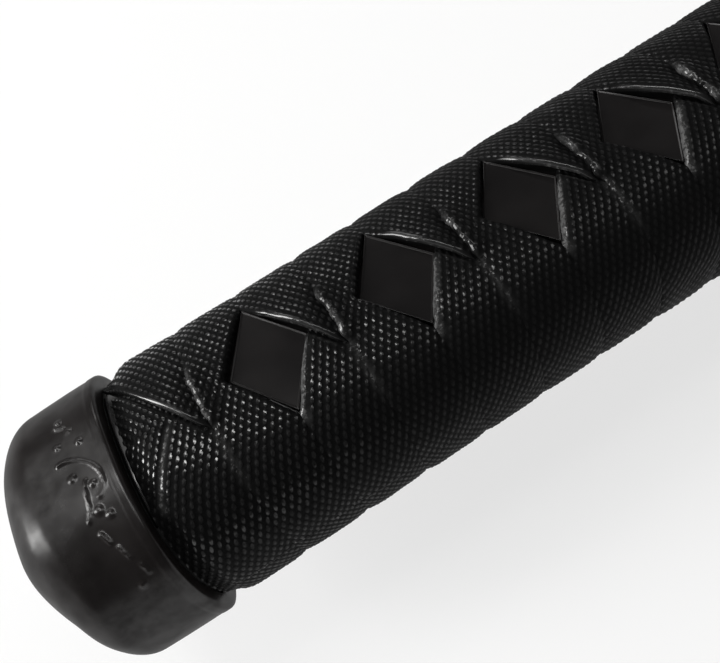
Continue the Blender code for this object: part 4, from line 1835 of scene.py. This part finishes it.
@dataclass
class StrikingBar:
    """Blunt bar with a bent back, a swept tip and a tang, and the sleeve round its root.

    Its half section holds shares of width and thickness from the back, over the ridge, to the edge.
    """

    start: float
    tang_end: float
    length: float = 710.0 * MM
    bend: float = 32.0 * MM
    root_size: Pair = (30.0 * MM, 15.0 * MM)
    end_size: Pair = (24.0 * MM, 12.0 * MM)
    tang_size: Pair = (20.0 * MM, 8.0 * MM)
    tip_length: float = 42.0 * MM
    tip_flattening: float = 0.35
    nose_start: float = 0.90
    sleeve_length: float = 26.0 * MM
    sleeve_wall: float = 1.8 * MM
    clearance: float = 0.3 * MM
    corner_reach: float = 1.6 * MM
    body_steps: int = 120
    tip_steps: int = 48
    sharp: float = 40.0
    half_section: tuple[Pair, ...] = (
        (0.50, 0.0), (0.42, 0.30), (0.14, 0.50), (-0.28, 0.38), (-0.45, 0.20), (-0.50, 0.0))
    half_tang: tuple[Pair, ...] = (
        (0.50, 0.0), (0.49, 0.44), (0.20, 0.50), (-0.20, 0.50), (-0.49, 0.44), (-0.50, 0.0))

    @classmethod
    def from_frame(cls) -> StrikingBar:
        """Take the bar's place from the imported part.

        Returns:
            The bar.
        """
        return cls(start=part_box("bar_collar")[0].x, tang_end=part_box("striking_bar")[0].x)

    def section(self, half: Sequence[Pair], size: Sequence[float],
                grow: float = 0.0) -> tuple[np.ndarray, np.ndarray]:
        """Rounded outline across the bar.

        Args:
            half: Shares of the half section.
            size: Width and thickness.
            grow: Distance that its sides are moved outwards.

        Returns:
            Points across the bar, and how far each is into a corner.
        """
        upper = np.array(half) * np.array(size)
        corners = np.concatenate((upper, upper[-2:0:-1] * (1.0, -1.0)))
        sides = np.roll(corners, -1, axis=0) - corners
        out_after = np.stack((sides[:, 1], -sides[:, 0]), axis=1)
        out_after = out_after / np.linalg.norm(sides, axis=1)[:, None]
        out_before = np.roll(out_after, 1, axis=0)
        outward = (out_before + out_after) / (1 + np.sum(out_before * out_after, axis=1))[:, None]
        return fillet(corners + grow * outward, self.corner_reach, closed=True)

    def size_at(self, x: float) -> np.ndarray:
        """Width and thickness before the tip."""
        share = (x - self.start) / (self.length - self.tip_length)
        return blend(np.array(self.root_size), np.array(self.end_size), min(max(share, 0.0), 1.0))

    def at(self, x: float, outline: np.ndarray, rise: float = 0.0) -> np.ndarray:
        """An outline set across the bent bar."""
        bend = self.bend * (max(x - self.start, 0.0) / self.length) ** 2
        return np.stack((np.full(len(outline), x), outline[:, 0] + bend + rise, outline[:, 1]), axis=1)

    def tip(self, share: float) -> np.ndarray:
        """A ring of the tip, whose edge sweeps up to the straight back.

        Args:
            share: Place along the tip, from 0 at its start to 1 at its end.

        Returns:
            Points of the ring.
        """
        x = self.start + self.length - self.tip_length * (1.0 - share)
        width, thickness = self.size_at(x)
        left = math.sqrt(1.0 - share * share)
        nose = math.sqrt(1.0 - max((share - self.nose_start) / (1.0 - self.nose_start), 0.0) ** 2)
        size = (width * left, thickness * nose * (left + (1.0 - left) * self.tip_flattening))
        return self.at(x, self.section(self.half_section, size)[0], (1.0 - left) * width / 2)

    def build(self, finish: Finish, sleeve_finish: Finish, pegs: CrossPegs) -> None:
        """Make the bar and its sleeve.

        Args:
            finish: The bar's plastic.
            sleeve_finish: The sleeve's coated metal.
            pegs: Pegs that cross the tang.
        """
        tang, _ = self.section(self.half_tang, self.tang_size)
        rings = [self.at(x, tang) for x in (self.tang_end, self.start)]
        for x in np.linspace(self.start, self.start + self.length - self.tip_length, self.body_steps):
            outline, bends = self.section(self.half_section, self.size_at(x))
            rings.append(self.at(x, outline))
        turns = np.linspace(0.0, math.pi / 2, self.tip_steps + 2)[1:-1]
        rings += [self.tip(math.sin(turn)) for turn in turns]
        wear = np.repeat(bends[None], len(rings), axis=0)
        wear[:2] = 0.0
        bar = Piece.loft("blunt_bar", np.stack(rings), {Field.WEAR: wear}, self.sharp)
        pegs.drill(bar)
        Piece.join(bar, finish.slot, ("striking_bar",), finish.material())
        self.build_sleeve(sleeve_finish)

    def build_sleeve(self, finish: Finish) -> None:
        """Make the sleeve round the bar's root.

        Args:
            finish: Its coated metal.
        """
        middle, end = self.start + self.sleeve_length / 2, self.start + self.sleeve_length
        inner, outer = self.clearance, self.clearance + self.sleeve_wall
        profile = [(middle, inner), (self.start, inner), (self.start, outer), (middle, outer),
                   (end, outer - self.sleeve_wall / 2), (end, inner), (middle, inner)]
        rounded, bends = fillet(profile, self.sleeve_wall / 3)
        rings = []
        for x, grow in rounded[:-1]:
            outline, _ = self.section(self.half_section, self.size_at(x), grow)
            rings.append(self.at(x, outline))
        wear = np.repeat(bends[:-1, None], len(rings[0]), axis=1)
        fields = {Field.WEAR: wear}
        sleeve = Piece.loft("bar_root_sleeve", np.stack(rings), fields, self.sharp, endless=True)
        Piece.join(sleeve, finish.slot, ("bar_collar",), finish.material())


@dataclass
class CrossPegs:
    """The two pegs that hold the tang in the grip, seen in the windows that they pass through."""

    nodes: tuple[str, str] = ("front_peg", "rear_peg")
    edge_reach: float = 0.5 * MM
    clearance: float = 0.3 * MM
    sides: int = 64
    sharp: float = 40.0

    def sizes(self, node: str) -> Triple:
        """Triple along the grip, radius and half length of a peg."""
        low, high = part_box(node)
        return (low.x + high.x) / 2, (high.x - low.x) / 2, high.z

    def body(self, name: str, x: float, profile: np.ndarray, wear: np.ndarray) -> bpy.types.Object:
        """A round body across the grip.

        Args:
            name: Its name.
            x: Its place along the grip.
            profile: Radii and heights.
            wear: Wear at each of them.

        Returns:
            The new object.
        """
        angle = math.tau * np.arange(self.sides) / self.sides
        rings = []
        for radius, z in profile:
            ring = (x + radius * np.cos(angle), radius * np.sin(angle), np.full_like(angle, z))
            rings.append(np.stack(ring, axis=1))
        fields = {Field.WEAR: np.repeat(wear[:, None], self.sides, axis=1)}
        return Piece.loft(name, np.stack(rings), fields, self.sharp)

    def drill(self, bar: bpy.types.Object) -> None:
        """Cut the pegs' holes through a bar's tang.

        Args:
            bar: The bar.
        """
        drills = []
        for node in self.nodes:
            x, radius, half = self.sizes(node)
            profile = np.array([(radius + self.clearance, -half), (radius + self.clearance, half)])
            drills.append(self.body(node + "_drill", x, profile, np.zeros(2)))
            hole = bar.modifiers.new(node + "_hole", "BOOLEAN")
            hole.operation = "DIFFERENCE"
            hole.object = drills[-1]
        Piece.settle(bar)
        for drill in drills:
            bpy.data.objects.remove(drill, do_unlink=True)

    def build(self, finish: Finish) -> None:
        """Make both pegs.

        Args:
            finish: Their nylon.
        """
        material = finish.material()
        for node in self.nodes:
            x, radius, half = self.sizes(node)
            corners = [(radius / 4, -half), (radius, -half), (radius, half), (radius / 4, half)]
            peg = self.body("cross_" + node, x, *fillet(corners, self.edge_reach))
            Piece.join(peg, finish.slot, (node,), material)


@dataclass(frozen=True)
class Softbox:
    """A soft rectangular lamp, sized in metres and watts."""

    name: str
    place: Triple
    aim: Triple
    size: Pair
    power: float
    colour: Triple = (1.0, 0.995, 0.985)

    def hang(self) -> None:
        """Put the lamp into the scene, turned to what it lights."""
        light = bpy.data.lights.new(self.name, "AREA")
        light.shape = "RECTANGLE"
        light.size, light.size_y = self.size
        light.energy = self.power
        light.color = self.colour
        lamp = bpy.data.objects.new(self.name, light)
        lamp.location = self.place
        lamp.rotation_mode = "QUATERNION"
        lamp.rotation_quaternion = (Vector(self.aim) - Vector(self.place)).to_track_quat("-Z", "Y")
        bpy.context.scene.collection.objects.link(lamp)


@dataclass(frozen=True)
class Studio:
    """Camera, lamps, floor and sky.

    The sky is pale only near the horizon, where it goes on from the floor.
    """

    camera_place: Triple = (49.79 * MM, -61.74 * MM, 101.78 * MM)
    camera_aim: Triple = (61.06 * MM, -5.89 * MM, 15.30 * MM)
    camera_roll: float = math.radians(22.97)
    focal_length: float = 38.68
    sensor_width: float = 36.0
    shift: Pair = (-0.05, -0.025)
    nearest: float = 5.0 * MM
    floor_size: float = 60.0
    floor_colour: Colour = grey(0.30)
    floor_roughness: float = 0.9
    floor_glow: float = 0.68
    sky_colour: Colour = (1.0, 0.99, 0.985, 1.0)
    sky_strength: float = 0.10
    horizon_strength: float = 0.75
    horizon: Pair = (0.10, 0.30)
    lamps: tuple[Softbox, ...] = (
        Softbox("overhead_softbox", (-0.03, 0.14, 0.84), (0.08, 0.0, 0.0), (0.14, 0.50), 2.35),
        Softbox("rear_softbox", (0.10, 0.78, 0.52), (0.12, 0.0, 0.0), (0.40, 0.22), 1.2),
        Softbox("bar_softbox", (0.68, -0.10, 1.10), (0.66, 0.0, 0.0), (0.80, 0.40), 2.2),
        Softbox("butt_softbox", (-0.75, 0.28, 0.40), (0.01, 0.0, 0.01), (0.24, 0.58), 7.0),
        Softbox("butt_fill", (-0.42, 0.48, 0.77), (0.01, 0.0, 0.01), (0.60, 0.60), 1.4))

    def build(self, low: Vector, high: Vector) -> None:
        """Set up the studio round the part.

        Args:
            low: Lowest corner of the part.
            high: Highest corner of the part.
        """
        self.add_camera()
        self.add_sky()
        self.add_floor((low.x + high.x) / 2, low.z)
        for lamp in self.lamps:
            lamp.hang()

    def add_camera(self) -> None:
        """Put the camera at the photograph's place."""
        camera = bpy.data.cameras.new("photo_camera")
        camera.sensor_fit = "HORIZONTAL"
        camera.sensor_width = self.sensor_width
        camera.lens = self.focal_length
        camera.shift_x, camera.shift_y = self.shift
        camera.clip_start = self.nearest
        holder = bpy.data.objects.new("photo_camera", camera)
        aim = Vector(self.camera_aim) - Vector(self.camera_place)
        holder.location = self.camera_place
        holder.rotation_mode = "QUATERNION"
        roll = Quaternion((0.0, 0.0, 1.0), -self.camera_roll)
        holder.rotation_quaternion = aim.to_track_quat("-Z", "Y") @ roll
        bpy.context.scene.collection.objects.link(holder)
        bpy.context.scene.camera = holder

    def add_sky(self) -> None:
        """Give the world a plain soft light."""
        world = bpy.data.worlds.new("studio_sky")
        world.use_nodes = True
        graph = Graph(world.node_tree)
        towards = graph.value("ShaderNodeTexCoord", None, None, "Generated")
        height = graph.value("ShaderNodeSeparateXYZ", None, {0: towards}, "Z")
        strength = height.step(*self.horizon).between(self.horizon_strength, self.sky_strength)
        backdrop = world.node_tree.nodes["Background"]
        graph.feed(backdrop, {"Color": self.sky_colour, "Strength": strength})
        bpy.context.scene.world = world
        bpy.context.scene.view_settings.view_transform = "Standard"

    def add_floor(self, x: float, z: float) -> None:
        """Lay the pale floor that the part rests on.

        Args:
            x: Middle of the floor along the part.
            z: Its height.
        """
        mesh = bpy.data.meshes.new("studio_floor")
        half = self.floor_size / 2
        corners = [(x - half, -half, z), (x + half, -half, z),
                   (x + half, half, z), (x - half, half, z)]
        mesh.from_pydata(corners, [], [(0, 1, 2, 3)])
        floor = Piece.link("studio_floor", mesh)
        material, graph, shader = Graph.of_material("pale_floor")
        path = graph.node("ShaderNodeLightPath")
        seen = Value(graph, path.outputs["Is Camera Ray"])
        for ray in ("Is Glossy Ray", "Is Transmission Ray"):
            seen = seen.at_least(Value(graph, path.outputs[ray]))
        graph.feed(shader, {
            "Base Color": self.floor_colour,
            "Roughness": self.floor_roughness,
            "Specular IOR Level": 0.0,
            "Emission Color": graph.mix(seen, grey(0.0), grey(1.0)),
            "Emission Strength": self.floor_glow,
        })
        mesh.materials.append(material)
        floor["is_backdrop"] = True


BUTT_PLASTIC = WornFinish(
    "butt_plastic", "butt_cap",
    dark=(0.0078, 0.0066, 0.0064, 1.0), pale=(0.0133, 0.0112, 0.0109, 1.0),
    scuffed=(0.055, 0.050, 0.048, 1.0), roughness=(0.40, 0.50), specular=0.03,
    scuff_start=0.77, coat=0.10, coat_roughness=0.25, coat_index=3.0)
PANEL_PLASTIC = Finish(
    "panel_plastic", "side_panel",
    dark=(0.0081, 0.0075, 0.0076, 1.0), pale=(0.0122, 0.0112, 0.0112, 1.0),
    scuffed=grey(0.06), roughness=(0.15, 0.22), specular=0.19,
    grain_depth=0.002 * MM, scuff_start=0.80)
CORE_PLASTIC = Finish(
    "core_plastic", "grip_core",
    dark=grey(0.006), pale=grey(0.010), scuffed=grey(0.03), roughness=(0.5, 0.65))
COATED_METAL = WornFinish(
    "coated_metal", "fittings",
    dark=(0.014, 0.014, 0.0147, 1.0), pale=(0.024, 0.024, 0.0248, 1.0),
    scuffed=(0.105, 0.102, 0.098, 1.0), roughness=(0.30, 0.46), grain_depth=0.03 * MM,
    scuff_size=1.1 * MM, scuff_start=0.79, wear_share=0.26)
BAR_PLASTIC = WornFinish(
    "bar_plastic", "striking_bar",
    dark=(0.011, 0.011, 0.0115, 1.0), pale=(0.020, 0.020, 0.0205, 1.0),
    scuffed=grey(0.055), roughness=(0.34, 0.50), grain_depth=0.03 * MM,
    scuff_size=1.3 * MM, scuff_start=0.76, scuff_stretch=(0.25, 1.0, 1.0), wear_share=0.14)
PEG_NYLON = Finish(
    "peg_nylon", "peg",
    dark=(0.013, 0.012, 0.011, 1.0), pale=(0.024, 0.021, 0.020, 1.0),
    scuffed=(0.06, 0.055, 0.05, 1.0), roughness=(0.40, 0.52))

NODE_FINISHES = {PANEL_PLASTIC: ("side_panel_upper", "side_panel_lower"),
                 CORE_PLASTIC: ("grip_core_upper", "grip_core_lower")}


def dress_nodes(nodes: dict[str, bpy.types.Object]) -> None:
    """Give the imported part's own nodes their finishes.

    Args:
        nodes: Objects of the nodes by name.
    """
    for finish, names in NODE_FINISHES.items():
        material = finish.material()
        for name in names:
            mesh = nodes[name].data
            mesh.materials.clear()
            mesh.materials.append(material)
            LOG.info("%s: %s", name, finish.name)


def main() -> None:
    """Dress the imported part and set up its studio."""
    logging.basicConfig(level=logging.INFO, format="%(name)s: %(message)s")
    for stray in list(bpy.data.objects):
        bpy.data.objects.remove(stray, do_unlink=True)
    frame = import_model()
    packed_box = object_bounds()
    grip = Grip.from_frame()
    oval = Oval(grip.half_width, grip.half_height, grip.squareness)
    grain = Grain(GRAIN_SEED)
    dress_nodes(frame["nodes"])
    weave = Weave(pitch_around=oval.length / 2 / DOTS_IN_HALF_TURN)
    relief = WovenRelief(weave)
    tape = TapeFinish()
    material = tape.material(weave)
    for over in (False, True):
        GripTape(grip, oval, grain, over).build(relief, material, tape.slot)
    ButtCap.from_frame(grip, oval, grain).build(BUTT_PLASTIC)
    WindowPads.from_frame(grip, oval).build(PANEL_PLASTIC)
    GuardFittings(oval, grip.half_width).build(COATED_METAL)
    pegs = CrossPegs()
    StrikingBar.from_frame().build(BAR_PLASTIC, COATED_METAL, pegs)
    pegs.build(PEG_NYLON)
    Studio().build(*packed_box)


if __name__ == "__main__":
    main()
